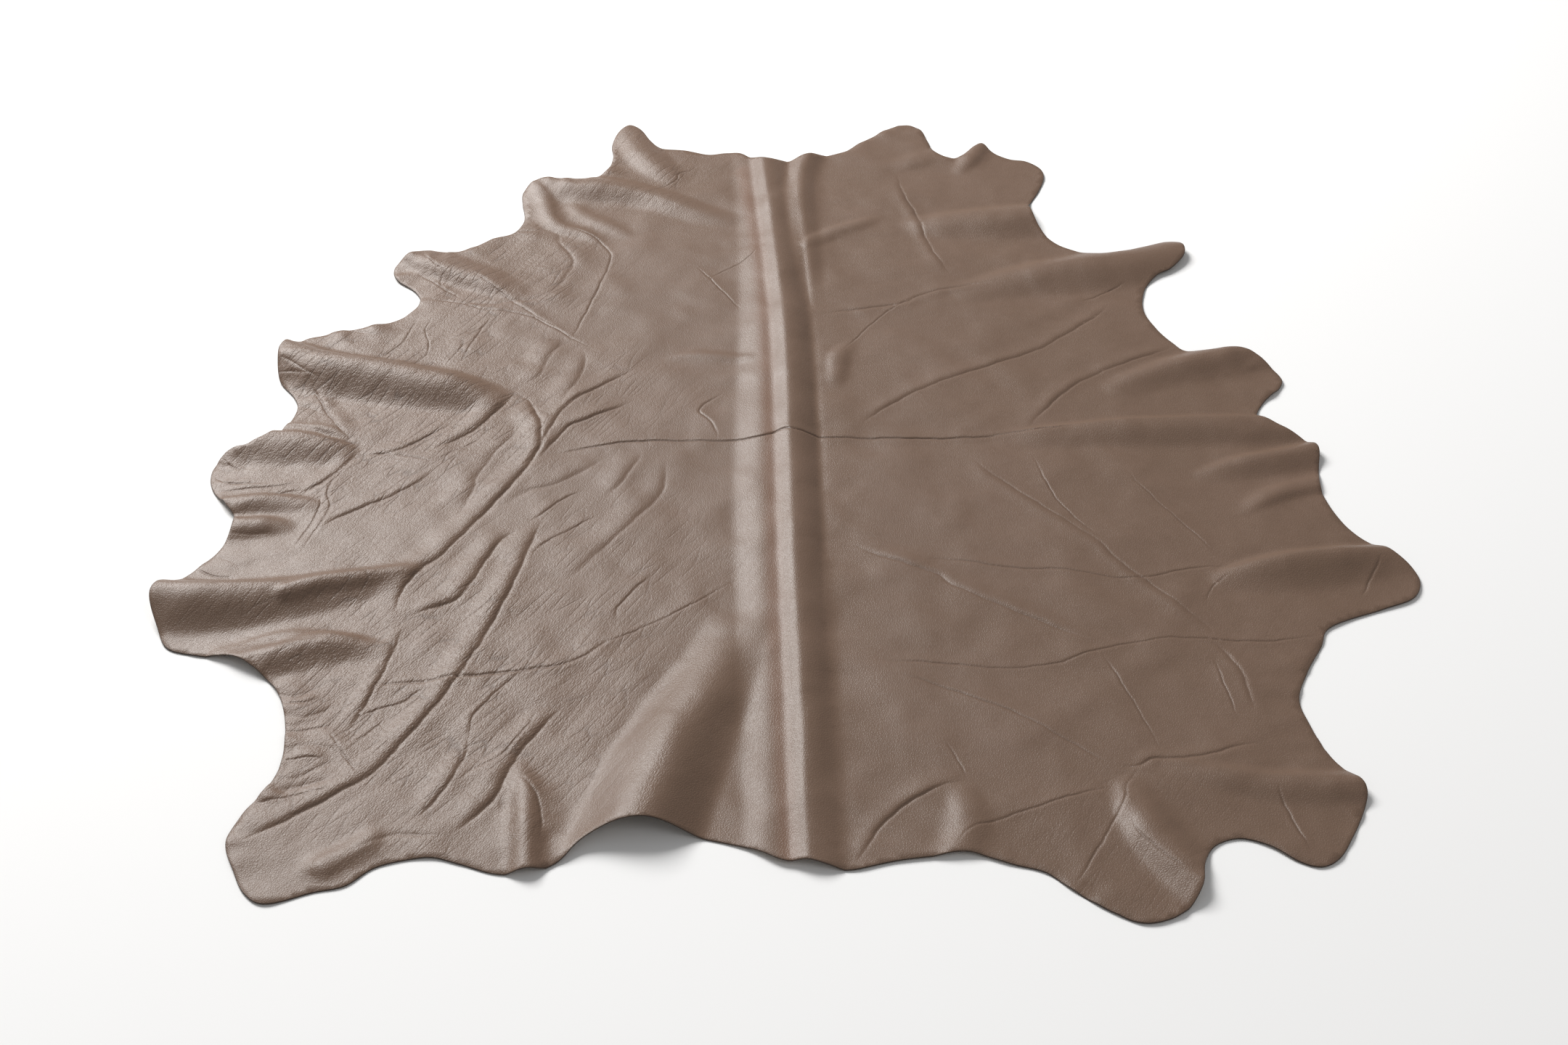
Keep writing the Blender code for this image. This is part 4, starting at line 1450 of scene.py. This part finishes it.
@dataclass(frozen=True)
class SettledLeather:
    """A Geometry Nodes tree that lets the sheet settle: low waves, and puckers along the cut edge.

    Attributes:
        wave_height: the highest a wave rises.
        wave_size: the distance between waves.
        ripple_height: the highest a ripple rises where the leather is milled.
        ripple_size: a ripple's length and the distance between ripples.
        ripple_turn: how far ripples are turned from running along X.
        pucker_height: the highest a pucker rises at the cut edge.
        pucker_spacing: the distance between puckers along the edge.
        pucker_reach: how far inside the edge they die out.
        pucker_stretch: how fast a pucker changes on the way in, over its reach.
        seed: picks the pattern.
        waves: the pattern of the waves.
        ripples: the pattern of the ripples.
        puckers: the pattern of the puckers.
    """

    wave_height: float = 0.0030
    wave_size: float = 0.120
    ripple_height: float = 0.0011
    ripple_size: tuple[float, float] = (0.170, 0.040)
    ripple_turn: float = 60.0
    pucker_height: float = 0.0050
    pucker_spacing: float = 0.040
    pucker_reach: float = 0.085
    pucker_stretch: float = 0.7
    seed: float = 4.0
    waves: Flecks = Flecks(1.0, 1.5, 0.45, 0.3, (0.35, 0.72))
    ripples: Flecks = Flecks(1.0, 1.0, 0.4, 0.5, (0.34, 0.66))
    puckers: Flecks = Flecks(1.0, 0.5, 0.4, 0.2, (0.42, 0.68))

    def sizes(self) -> dict[str, float]:
        """Lists the tree's number inputs.

        Returns:
            The value of each input, by the input's name.
        """
        return {
            "Wave height": self.wave_height,
            "Wave size": self.wave_size,
            "Ripple height": self.ripple_height,
            "Ripple length": self.ripple_size[0],
            "Ripple spacing": self.ripple_size[1],
            "Ripple turn": math.radians(self.ripple_turn),
            "Pucker height": self.pucker_height,
            "Pucker spacing": self.pucker_spacing,
            "Pucker reach": self.pucker_reach,
            "Seed": self.seed,
        }

    def tree(self, finishes: dict[str, bpy.types.Material]) -> tuple[bpy.types.NodeTree, dict[str, str]]:
        """Builds the tree.

        Args:
            finishes: what goes into the tree's material inputs.

        Returns:
            The tree, and the identifier of each of its inputs by name.
        """
        tree = bpy.data.node_groups.new("settled_leather", "GeometryNodeTree")
        names = {"Geometry": socket(tree, "Geometry", "Geometry")}
        names |= {name: socket(tree, name, "Float") for name in self.sizes()}
        names |= {name: socket(tree, name, "Material") for name in finishes}
        socket(tree, "Geometry", "Geometry", out=True)
        wires = Wiring(tree)
        given = wires.node("NodeGroupInput").outputs
        milled, run, gap, mask, lifted = wires.stored("milled", "edge_run", "edge_gap", "pucker", "lifted")

        rise = wires.math("ADD", self.wave(wires, given, milled), self.pucker(wires, given, run, gap, mask))
        offset = wires.node("ShaderNodeCombineXYZ", x2=wires.math("MULTIPLY", rise, lifted)).outputs[0]
        moved = wires.node("GeometryNodeSetPosition", Geometry=given["Geometry"], Offset=offset)
        dressed = wires.node("GeometryNodeRealizeInstances", x0=moved.outputs[0]).outputs[0]
        side = wires.node("GeometryNodeInputNamedAttribute", {"data_type": "INT"}, Name="side")
        number = next(found for found in side.outputs if found.enabled and found.name == "Attribute")
        for which, name in zip(Side, finishes):
            same = wires.node("FunctionNodeCompare", {"data_type": "INT", "operation": "EQUAL"})
            first, second = (found for found in same.inputs if found.enabled)
            tree.links.new(number, first)
            second.default_value = which.value
            dressed = wires.node(
                "GeometryNodeSetMaterial",
                Geometry=dressed,
                Selection=same.outputs[0],
                Material=given[name],
            ).outputs[0]
        wires.node("NodeGroupOutput", x0=dressed)
        return tree, names

    def wave(self, wires: Wiring, given: object, milled: object) -> bpy.types.NodeSocket:
        """Adds the waves, and the ripples on the milled parts.

        Args:
            wires: the tree's wiring.
            given: the tree's inputs.
            milled: how far the leather is milled.

        Returns:
            How far they lift the leather.
        """
        place = wires.node("GeometryNodeInputPosition").outputs[0]
        over = wires.math("DIVIDE", 1.0, given["Wave size"])
        scaled = wires.node("ShaderNodeVectorMath", {"operation": "SCALE"}, x0=place, Scale=over)
        swell = wires.swells(scaled.outputs[0], self.waves, given["Seed"])
        wave = wires.math("MULTIPLY", swell, given["Wave height"])

        back = wires.math("MULTIPLY", given["Ripple turn"], -1.0)
        turned = wires.node(
            "ShaderNodeVectorRotate", {"rotation_type": "Z_AXIS"}, Vector=place, Angle=back
        )
        split = wires.node("ShaderNodeSeparateXYZ", x0=turned.outputs[0]).outputs
        along = wires.math("DIVIDE", split[0], given["Ripple length"])
        across = wires.math("DIVIDE", split[1], given["Ripple spacing"])
        at = wires.node("ShaderNodeCombineXYZ", x0=along, x1=across).outputs[0]
        ripple = wires.swells(at, self.ripples, given["Seed"])
        ripple = wires.math("MULTIPLY", ripple, given["Ripple height"])
        return wires.math("MULTIPLY_ADD", ripple, milled, wave)

    def pucker(
        self, wires: Wiring, given: object, run: object, gap: object, mask: object
    ) -> bpy.types.NodeSocket:
        """Adds the puckers along the cut edge.

        Args:
            wires: the tree's wiring.
            given: the tree's inputs.
            run: how far along the cut edge a point is.
            gap: how far from the cut edge it is.
            mask: how far the edge puckers there.

        Returns:
            How far they lift the leather.
        """
        along = wires.math("DIVIDE", run, given["Pucker spacing"])
        inward = wires.math("DIVIDE", gap, given["Pucker reach"])
        across = wires.math("MULTIPLY", inward, self.pucker_stretch)
        at = wires.node("ShaderNodeCombineXYZ", x0=along, x1=across).outputs[0]
        dying = wires.ramp(inward, (0.0, 1.0), 1.0, 0.0)
        pucker = wires.math("MULTIPLY", wires.swells(at, self.puckers, given["Seed"]), dying)
        pucker = wires.math("MULTIPLY", pucker, given["Pucker height"])
        return wires.math("MULTIPLY", pucker, mask)

    def settle(self, piece: bpy.types.Object, finishes: dict[str, bpy.types.Material]) -> None:
        """Runs the tree on a piece and keeps the result as its plain mesh.

        Args:
            piece: the sheet.
            finishes: a material for each side of the sheet, in the order of Side.
        """
        tree, names = self.tree(finishes)
        settle = piece.modifiers.new("settled", "NODES")
        settle.node_group = tree
        for name, value in (self.sizes() | finishes).items():
            settle[names[name]] = value
        piece.update_tag()
        graph = bpy.context.evaluated_depsgraph_get()
        settled = bpy.data.meshes.new_from_object(
            piece.evaluated_get(graph), preserve_all_data_layers=True, depsgraph=graph
        )
        piece.modifiers.remove(settle)
        piece.data = settled


@dataclass(frozen=True)
class Pebbles:
    """The pebbles of the leather's grain.

    Attributes:
        per_metre: how many pebbles there are in a metre.
        unevenness: how far they are pushed about, in their own size.
        drift: the noise that pushes them about and roughens them; its scale is theirs.
        dome: how far from its edge a pebble reaches its full height, in its own size.
        groove: the width of the lines between pebbles, in their own size.
        rough_share: how much of the height is the roughness.
    """

    per_metre: float = 260.0
    unevenness: float = 0.5
    drift: Flecks = Flecks(1.0, 2.0, 0.6)
    dome: float = 0.32
    groove: float = 0.10
    rough_share: float = 0.35

    def group(self) -> bpy.types.NodeTree:
        """Builds the group.

        Returns:
            A group that takes a place, a number of pebbles in a metre and their unevenness, and
            gives a height from 0 to 1 and a mask of the lines between the pebbles.
        """
        tree = bpy.data.node_groups.new("pebble_grain", "ShaderNodeTree")
        socket(tree, "Vector", "Vector")
        socket(tree, "Pebbles per metre", "Float", self.per_metre)
        socket(tree, "Unevenness", "Float", self.unevenness)
        socket(tree, "Height", "Float", out=True)
        socket(tree, "Lines", "Float", out=True)
        wires = Wiring(tree)
        given = wires.node("NodeGroupInput").outputs
        fineness = given["Pebbles per metre"]
        drift = wires.noise(given["Vector"], self.drift, scale=fineness)
        reach = wires.math("DIVIDE", given["Unevenness"], fineness)
        at = wires.moved(given["Vector"], drift.outputs[1], reach)
        distance = wires.cells(at, fineness, "3D")
        domes = wires.ramp(distance, (0.0, self.dome))
        height = wires.weighed(drift.outputs[0], self.rough_share, domes, 1 - self.rough_share)
        lines = wires.ramp(distance, (0.0, self.groove), 1.0, 0.0)
        wires.node("NodeGroupOutput", Height=height, Lines=lines)
        return tree


@dataclass(frozen=True)
class Flow:
    """Fine wrinkles that run one way.

    Attributes:
        turn: how far their places are turned before the pattern is read, in degrees.
        length: a wrinkle's length.
        spacing: the distance between wrinkles.
        bend: how far they are pushed about, in their own size.
    """

    turn: float
    length: float
    spacing: float
    bend: float

    def values(self) -> dict[str, float]:
        """Lists the group's inputs for these wrinkles.

        Returns:
            The value of each input, by the input's name.
        """
        return {
            "Turn": math.radians(self.turn),
            "Length": self.length,
            "Spacing": self.spacing,
            "Bend": self.bend,
        }


@dataclass(frozen=True)
class Wrinkles:
    """The pattern of fine wrinkles.

    Attributes:
        drift: the noise that pushes them about.
        dome: how far from its edge a wrinkle reaches its full height, in its own size.
        groove: the width of the lines between wrinkles, in their own size.
    """

    drift: Flecks = Flecks(0.35, 2.0, 0.6)
    dome: float = 0.42
    groove: float = 0.11

    def group(self) -> bpy.types.NodeTree:
        """Builds the group.

        Returns:
            A group that takes a place and the values of a Flow, and gives a height from 0 to 1
            and a mask of the lines between the wrinkles.
        """
        tree = bpy.data.node_groups.new("flow_wrinkles", "ShaderNodeTree")
        socket(tree, "Vector", "Vector")
        for name in ("Turn", "Length", "Spacing", "Bend"):
            socket(tree, name, "Float", 0.0)
        socket(tree, "Height", "Float", out=True)
        socket(tree, "Lines", "Float", out=True)
        wires = Wiring(tree)
        given = wires.node("NodeGroupInput").outputs
        turned = wires.node(
            "ShaderNodeVectorRotate",
            {"rotation_type": "Z_AXIS"},
            Vector=given["Vector"],
            Angle=given["Turn"],
        )
        split = wires.node("ShaderNodeSeparateXYZ", x0=turned.outputs[0]).outputs
        along = wires.math("DIVIDE", split[0], given["Length"])
        across = wires.math("DIVIDE", split[1], given["Spacing"])
        at = wires.node("ShaderNodeCombineXYZ", x0=along, x1=across).outputs[0]
        bent = wires.moved(at, wires.noise(at, self.drift).outputs[1], given["Bend"])
        distance = wires.cells(bent, 1.0, "2D")
        height = wires.ramp(distance, (0.0, self.dome))
        lines = wires.ramp(distance, (0.0, self.groove), 1.0, 0.0)
        wires.node("NodeGroupOutput", Height=height, Lines=lines)
        return tree


@dataclass(frozen=True)
class GrainSideFinish:
    """The grain side: taupe aniline leather with a soft gloss.

    Attributes:
        base: the leather's usual colour.
        pale: its colour on stretched parts, where the random patches are lighter, and the colour of
        the painted highlight on crests and raised crease sides, partly rubbed wear.
        deep: the colour of the painted shade in valleys, creases and long lines and along the cut edge.
        flank_light: the redder colour of the painted light along the backbone's left flank, where
        that slope misses the sheen.
        roughness: the lowest and the highest roughness.
        rough_limits: the drift of the colour that gives them.
        gloss: the specular level.
        patches: the broad patches of colour.
        flecks: the fine ones, whose limits are those of both together.
        fleck_share: how much of the drift of the colour the fine ones make.
        breaks: where the long lines show and where they are broken off.
        slanted: the fine wrinkles that run aslant.
        level: the fine wrinkles that run nearly level.
        level_share: how strong these are beside the slanted ones.
        long: the long thin lines.
        swell_share: how far the leather swells between the long lines where it is milled.
        wear_highlight_share: how pale a place with the full painted highlight and wear is.
        valley_shade_share: how dark the painted shade in the lines between pebbles is.
        crease_shade_share: how dark the painted shade in creases and long lines is.
        dark_rough: how much rougher dark parts are.
        edge_shade: the width of the painted shade along the cut edge, and how dark it is.
        looseness: how strong fine wrinkles are where milled, under the painted highlight and wear, and
        everywhere.
        pebble_depth: how deep the lines between the pebbles are.
        wrinkle_depth: how deep the fine wrinkles are.
        line_depth: how deep the long thin lines are.
    """

    base: Colour = (0.153, 0.095, 0.064, 1.0)
    pale: Colour = (0.164, 0.102, 0.070, 1.0)
    deep: Colour = (0.062, 0.034, 0.021, 1.0)
    flank_light: Colour = (0.172, 0.096, 0.062, 1.0)
    roughness: tuple[float, float] = (0.42, 0.48)
    rough_limits: tuple[float, float] = (0.35, 0.85)
    gloss: float = 0.40
    patches: Flecks = Flecks(3.2, 4.0, 0.6)
    flecks: Flecks = Flecks(45.0, 3.0, 0.65, limits=(0.40, 0.66))
    fleck_share: float = 0.4
    breaks: Flecks = Flecks(13.0, 2.0, 0.5, limits=(0.44, 0.60))
    slanted: Flow = Flow(-60.0, 0.0135, 0.0045, 1.6)
    level: Flow = Flow(-8.0, 0.020, 0.0085, 2.0)
    level_share: float = 0.45
    long: Flow = Flow(-57.0, 0.100, 0.021, 1.8)
    swell_share: float = 0.6
    wear_highlight_share: float = 0.9
    valley_shade_share: float = 0.22
    crease_shade_share: float = 0.55
    dark_rough: float = 0.5
    edge_shade: tuple[float, float] = (0.004, 0.35)
    looseness: Row = (0.85, 0.5, 0.05)
    pebble_depth: float = 0.00026
    wrinkle_depth: float = 0.00030
    line_depth: float = 0.0005

    def material(self, pebbles: bpy.types.NodeTree, wrinkles: bpy.types.NodeTree) -> bpy.types.Material:
        """Builds the material.

        Args:
            pebbles: the group for the grain.
            wrinkles: the group for the fine wrinkles.

        Returns:
            The material.
        """
        made = bpy.data.materials.new("leather_grain_side")
        made.use_nodes = True
        tree = made.node_tree
        shader = tree.nodes["Principled BSDF"]
        wires = Wiring(tree)
        place = wires.node("ShaderNodeTexCoord").outputs["Object"]
        crease, milled, rubbed, spine, gap = wires.stored("crease", "milled", "rubbed", "spine", "edge_gap")
        pebble = wires.node("ShaderNodeGroup", {"node_tree": pebbles}, Vector=place).outputs
        slanted, level, long = (
            wires.node("ShaderNodeGroup", {"node_tree": wrinkles}, Vector=place, **flow.values()).outputs
            for flow in (self.slanted, self.level, self.long)
        )
        scarce = wires.math("MULTIPLY", wires.swells(place, self.breaks), milled)
        lines = wires.math("MULTIPLY", long["Lines"], scarce)

        flecks = wires.noise(place, self.flecks).outputs[0]
        patches = wires.noise(place, self.patches).outputs[0]
        drift = wires.weighed(flecks, self.fleck_share, patches, 1 - self.fleck_share)
        # Painted highlight on crests and raised crease sides, partly rubbed wear, joins the random pale
        # patches.
        wear_highlight_amount = wires.math("MULTIPLY", rubbed, self.wear_highlight_share)
        light = wires.highest(wires.ramp(drift, self.flecks.limits), wear_highlight_amount)
        # Painted shade: the lines between pebbles, the rim along the cut edge, the creases and the long
        # lines are darkened.
        dark = wires.highest(
            wires.math("MULTIPLY", pebble["Lines"], self.valley_shade_share),
            wires.ramp(gap, (0.0, self.edge_shade[0]), self.edge_shade[1], 0.0),
            wires.math("MULTIPLY", crease, self.crease_shade_share),
            wires.math("MULTIPLY", lines, self.crease_shade_share),
        )
        colour = self.mixed(wires, light, self.base, self.pale)
        # Painted light: a redder band along the backbone's left flank, where that slope misses the sheen.
        colour = self.mixed(wires, spine, colour, self.flank_light)
        tree.links.new(self.mixed(wires, dark, colour, self.deep), shader.inputs["Base Color"])

        darkened = wires.math("MULTIPLY_ADD", dark, self.dark_rough, drift)
        rough = wires.ramp(darkened, self.rough_limits, *self.roughness)
        tree.links.new(rough, shader.inputs["Roughness"])
        shader.inputs["Specular IOR Level"].default_value = self.gloss

        on_milled, on_wear_highlight, anywhere = self.looseness
        loose = wires.math("MULTIPLY_ADD", rubbed, on_wear_highlight, anywhere)
        loose = wires.math("MULTIPLY_ADD", milled, on_milled, loose)
        flow = wires.math("MULTIPLY_ADD", level["Height"], self.level_share, slanted["Height"])
        flow = wires.math("MULTIPLY", flow, wires.math("MINIMUM", loose, 1.0))
        swells = wires.math("MULTIPLY", long["Height"], wires.math("MULTIPLY", milled, self.swell_share))
        bumps = (
            (wires.math("SUBTRACT", swells, lines), self.line_depth),
            (flow, self.wrinkle_depth),
            (pebble["Height"], self.pebble_depth),
        )
        under = {}
        for height, depth in bumps:
            bump = wires.node("ShaderNodeBump", Height=height, Strength=1.0, Distance=depth, **under)
            under = {"Normal": bump.outputs[0]}
        tree.links.new(under["Normal"], shader.inputs["Normal"])
        return made

    def mixed(self, wires: Wiring, share: object, first: object, second: object) -> bpy.types.NodeSocket:
        """Mixes two colours by a share that varies over the surface."""
        share = wires.math("MINIMUM", share, 1.0)
        return wires.node("ShaderNodeMix", {"data_type": "RGBA"}, x0=share, x6=first, x7=second).outputs[2]


@dataclass(frozen=True)
class RawFinish:
    """Bare fibres, as on the cut edge and the flesh side.

    Attributes:
        name: the material's name.
        light: the colour of the fibres' tips.
        dark: the colour between them.
        fibres: the fibres, with the limits of their colour.
        patches: the broad patches of colour, with the limits of the roughness.
        fibre_share: how much of the colour and of the height is the fibres.
        roughness: the roughness at each of its limits.
        gloss: the specular level.
        nap: the weight of the sheen.
        tuft_size: how many fibres there are across a tuft.
        tuft_unevenness: how far the tufts are pushed about, in their own size.
        depth: how far the fibres stand up.
        strength: how strongly this shows.
    """

    name: str
    light: Colour
    dark: Colour
    fibres: Flecks = Flecks(700.0, 4.0, 0.7, limits=(0.35, 0.65))
    patches: Flecks = Flecks(6.0, 3.0, 0.6, limits=(0.3, 0.7))
    fibre_share: float = 0.5
    roughness: tuple[float, float] = (0.95, 0.82)
    gloss: float = 0.2
    nap: float = 0.25
    tuft_size: float = 5.0
    tuft_unevenness: float = 1.0
    depth: float = 0.0006
    strength: float = 0.8

    def material(self, pebbles: bpy.types.NodeTree) -> bpy.types.Material:
        """Builds the material.

        Args:
            pebbles: the group for the grain, whose lines part the tufts of fibre.

        Returns:
            The material.
        """
        made = bpy.data.materials.new(self.name)
        made.use_nodes = True
        tree = made.node_tree
        shader = tree.nodes["Principled BSDF"]
        wires = Wiring(tree)
        place = wires.node("ShaderNodeTexCoord").outputs["Object"]
        fibres = wires.noise(place, self.fibres).outputs[0]
        patches = wires.noise(place, self.patches).outputs[0]
        tufts = wires.node("ShaderNodeGroup", {"node_tree": pebbles}, Vector=place)
        tufts.inputs["Pebbles per metre"].default_value = self.fibres.scale / self.tuft_size
        tufts.inputs["Unevenness"].default_value = self.tuft_unevenness

        drift = wires.weighed(fibres, self.fibre_share, patches, 1 - self.fibre_share)
        share = wires.ramp(drift, self.fibres.limits)
        colour = wires.node("ShaderNodeMix", {"data_type": "RGBA"}, x0=share, x6=self.dark, x7=self.light)
        tree.links.new(colour.outputs[2], shader.inputs["Base Color"])
        rough = wires.ramp(drift, self.patches.limits, *self.roughness)
        tree.links.new(rough, shader.inputs["Roughness"])
        shader.inputs["Specular IOR Level"].default_value = self.gloss
        shader.inputs["Sheen Weight"].default_value = self.nap
        tuft = tufts.outputs["Height"]
        height = wires.weighed(tuft, 1 - self.fibre_share, fibres, self.fibre_share)
        bump = wires.node("ShaderNodeBump", Height=height, Strength=self.strength, Distance=self.depth)
        tree.links.new(bump.outputs[0], shader.inputs["Normal"])
        return made


@dataclass
class Hide:
    """The whole hide.

    Attributes:
        node: the solid that it stands for.
        slot: the record's name for its material; not used.
        milled_patches: centre x, centre y, radius and strength of the wrinkled parts.
        pucker_patches: the same for the stretches of edge that pucker.
        flank_light_band: the places along the band of painted light on the backbone's left flank.
        flank_light_width: the band's half-width.
        edge_lift: how far in from the cut edge the flesh side still rises with the grain side.
        cut_line: the outline.
        cut_finish: the finish of the cut edge.
        flesh_finish: the finish of the flesh side.
    """

    node: str = "hide"
    slot: str = "leather"
    milled_patches: Patches = (
        (-0.80, 0.10, 0.48, 0.9),
        (-0.62, -0.70, 0.52, 0.8),
        (-0.64, 0.60, 0.32, 0.8),
        (-0.38, -0.42, 0.34, 0.5),
        (-0.42, 0.15, 0.28, 0.5),
        (-0.35, 1.05, 0.26, 0.6),
        (0.55, -1.10, 0.30, 0.2),
        (0.85, -0.55, 0.35, 0.12),
    )
    pucker_patches: Patches = (
        (-0.86, -0.85, 0.30, 1.0),
        (-1.05, -0.25, 0.22, 0.9),
        (-1.08, -0.10, 0.15, 0.7),
        (-0.95, 0.36, 0.22, 0.8),
        (-0.80, 0.62, 0.20, 0.7),
        (-0.50, 1.00, 0.20, 0.6),
        (0.86, -0.78, 0.22, 0.7),
        (0.95, -1.02, 0.18, 0.6),
        (0.95, 0.15, 0.18, 0.6),
        (0.30, 1.20, 0.20, 0.5),
        (0.55, -1.20, 0.22, 0.5),
    )
    flank_light_band: tuple[Point, ...] = (
        (-0.100, 1.050), (-0.060, 0.650), (-0.045, 0.350), (-0.034, 0.000), (-0.026, -0.350),
        (-0.018, -0.700), (-0.005, -1.000), (0.000, -1.140),
    )
    flank_light_width: float = 0.026
    edge_lift: float = 0.03
    cut_line: CutLine = field(default_factory=CutLine)
    cut_finish: RawFinish = RawFinish(
        "leather_cut_edge", (0.092, 0.064, 0.049, 1.0), (0.042, 0.029, 0.022, 1.0)
    )
    flesh_finish: RawFinish = RawFinish(
        "leather_flesh_side", (0.330, 0.265, 0.205, 1.0), (0.200, 0.152, 0.112, 1.0)
    )

    def mark_regions(self, mesh: bpy.types.Mesh, relief: Relief) -> None:
        """Stores where the leather is milled, puckered, given painted flank light and free to settle.

        Args:
            mesh: the sheet's mesh.
            relief: what places the tables.
        """
        count = len(mesh.vertices)
        points = np.empty(count * 3)
        mesh.vertices.foreach_get("co", points)
        places = points.reshape(-1, 3)[:, :2]
        grain = np.empty(count)
        gap = np.empty(count)
        mesh.attributes["grain_side"].data.foreach_get("value", grain)
        mesh.attributes["edge_gap"].data.foreach_get("value", gap)
        # The band of painted light along the backbone's left flank.
        path = relief.placed(tuple((x, y, 0.0) for x, y in self.flank_light_band))
        near = read_path(path, places, self.flank_light_width)
        flank_light = np.zeros(count)
        flank_light[near.which] = eased(1 - near.distance / self.flank_light_width)
        store(
            mesh,
            milled=patch_weight(places, self.milled_patches),
            pucker=patch_weight(places, self.pucker_patches),
            spine=flank_light,
            lifted=np.where(grain > 0, 1.0, np.clip(1 - gap / self.edge_lift, 0, 1)),
        )

    def build(self) -> bpy.types.Object:
        """Makes the hide, dresses it and gives it its place in the frame.

        Returns:
            The hide.
        """
        relief = Relief(self.cut_line.shift)
        sheet = SheetMesh(self.cut_line, relief, self.milled_patches).build("hide_leather")
        self.mark_regions(sheet.data, relief)
        pebbles = Pebbles().group()
        finishes = {
            "Grain side": GrainSideFinish().material(pebbles, Wrinkles().group()),
            "Cut edge": self.cut_finish.material(pebbles),
            "Flesh side": self.flesh_finish.material(pebbles),
        }
        SettledLeather().settle(sheet, finishes)
        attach(sheet, "root")
        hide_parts(self.node)
        sheet.data.calc_loop_triangles()
        log.info("%s: %d triangles", sheet.name, len(sheet.data.loop_triangles))
        return sheet


@dataclass
class Studio:
    """The floor, the lights and the camera.

    Attributes:
        floor_size: the side of the floor.
        floor_drop: how far it lies below the hide.
        floor_colour: its colour.
        floor_roughness: its roughness.
        floor_gloss: its specular level.
        lights: name, place, size, power and warmth of each soft light; all face the hide.
        air: the brightness of the surroundings.
        camera_place: where the camera stands.
        camera_pitch: how far it looks down, in degrees.
        lens: its focal length in millimetres.
        sensor: the width of its sensor in millimetres.
        farthest: how far it sees.
    """

    floor_size: float = 16.0
    floor_drop: float = 0.0003
    floor_colour: Colour = (0.90, 0.90, 0.90, 1.0)
    floor_roughness: float = 0.9
    floor_gloss: float = 0.1
    lights: tuple[tuple[str, Row, float, float, Colour], ...] = (
        ("back_left", (-4.3, 6.1, 6.0), 4.6, 1345.0, (1.0, 0.99, 0.975, 1.0)),
        ("front_right", (3.5, -3.5, 4.5), 3.0, 30.0, (1.0, 1.0, 1.0, 1.0)),
    )
    air: float = 0.27
    camera_place: Row = (-0.0117, -3.7195, 2.743)
    camera_pitch: float = 38.4
    lens: float = 54.0
    sensor: float = 36.0
    farthest: float = 50.0

    def build(self) -> None:
        """Makes the floor, the lights and the camera."""
        self.lay_floor()
        for name, place, size, power, colour in self.lights:
            self.hang_light(name, place, size, power, colour)
        self.light_air()
        self.place_camera()

    def lay_floor(self) -> None:
        """Lays a plain pale floor just under the hide."""
        half = self.floor_size / 2
        low = -self.floor_drop
        mesh = bpy.data.meshes.new("floor")
        corners = [(-half, -half, low), (half, -half, low), (half, half, low), (-half, half, low)]
        mesh.from_pydata(corners, [], [(0, 1, 2, 3)])
        floor = bpy.data.objects.new("floor", mesh)
        bpy.context.scene.collection.objects.link(floor)
        made = bpy.data.materials.new("pale_floor")
        made.use_nodes = True
        shader = made.node_tree.nodes["Principled BSDF"]
        shader.inputs["Base Color"].default_value = self.floor_colour
        shader.inputs["Roughness"].default_value = self.floor_roughness
        shader.inputs["Specular IOR Level"].default_value = self.floor_gloss
        mesh.materials.append(made)

    def hang_light(self, name: str, place: Row, size: float, power: float, colour: Colour) -> None:
        """Hangs a square soft light that faces the hide.

        Args:
            name: the light's name.
            place: where it hangs.
            size: its side.
            power: its power in watts.
            colour: its colour.
        """
        light = bpy.data.lights.new(name, "AREA")
        light.shape = "SQUARE"
        light.size = size
        light.energy = power
        light.color = colour[:3]
        hung = bpy.data.objects.new(name, light)
        hung.location = place
        hung.rotation_euler = (-Vector(place)).to_track_quat("-Z", "Y").to_euler()
        bpy.context.scene.collection.objects.link(hung)

    def light_air(self) -> None:
        """Fills the surroundings with an even pale light."""
        world = bpy.data.worlds.new("studio")
        world.use_nodes = True
        air = world.node_tree.nodes["Background"]
        air.inputs["Color"].default_value = (1.0, 1.0, 1.0, 1.0)
        air.inputs["Strength"].default_value = self.air
        bpy.context.scene.world = world

    def place_camera(self) -> None:
        """Stands the camera at the butt end, looking down along the backbone."""
        lens = bpy.data.cameras.new("camera")
        lens.sensor_width = self.sensor
        lens.lens = self.lens
        lens.clip_end = self.farthest
        camera = bpy.data.objects.new("camera", lens)
        camera.location = self.camera_place
        camera.rotation_euler = (math.radians(90 - self.camera_pitch), 0, 0)
        bpy.context.scene.collection.objects.link(camera)
        bpy.context.scene.camera = camera


def main() -> None:
    """Builds the studio and the hide."""
    logging.basicConfig(level=logging.INFO, format="%(name)s: %(message)s")
    bpy.context.scene.view_settings.view_transform = "Standard"
    Studio().build()
    Hide().build()


if __name__ == "__main__":
    main()
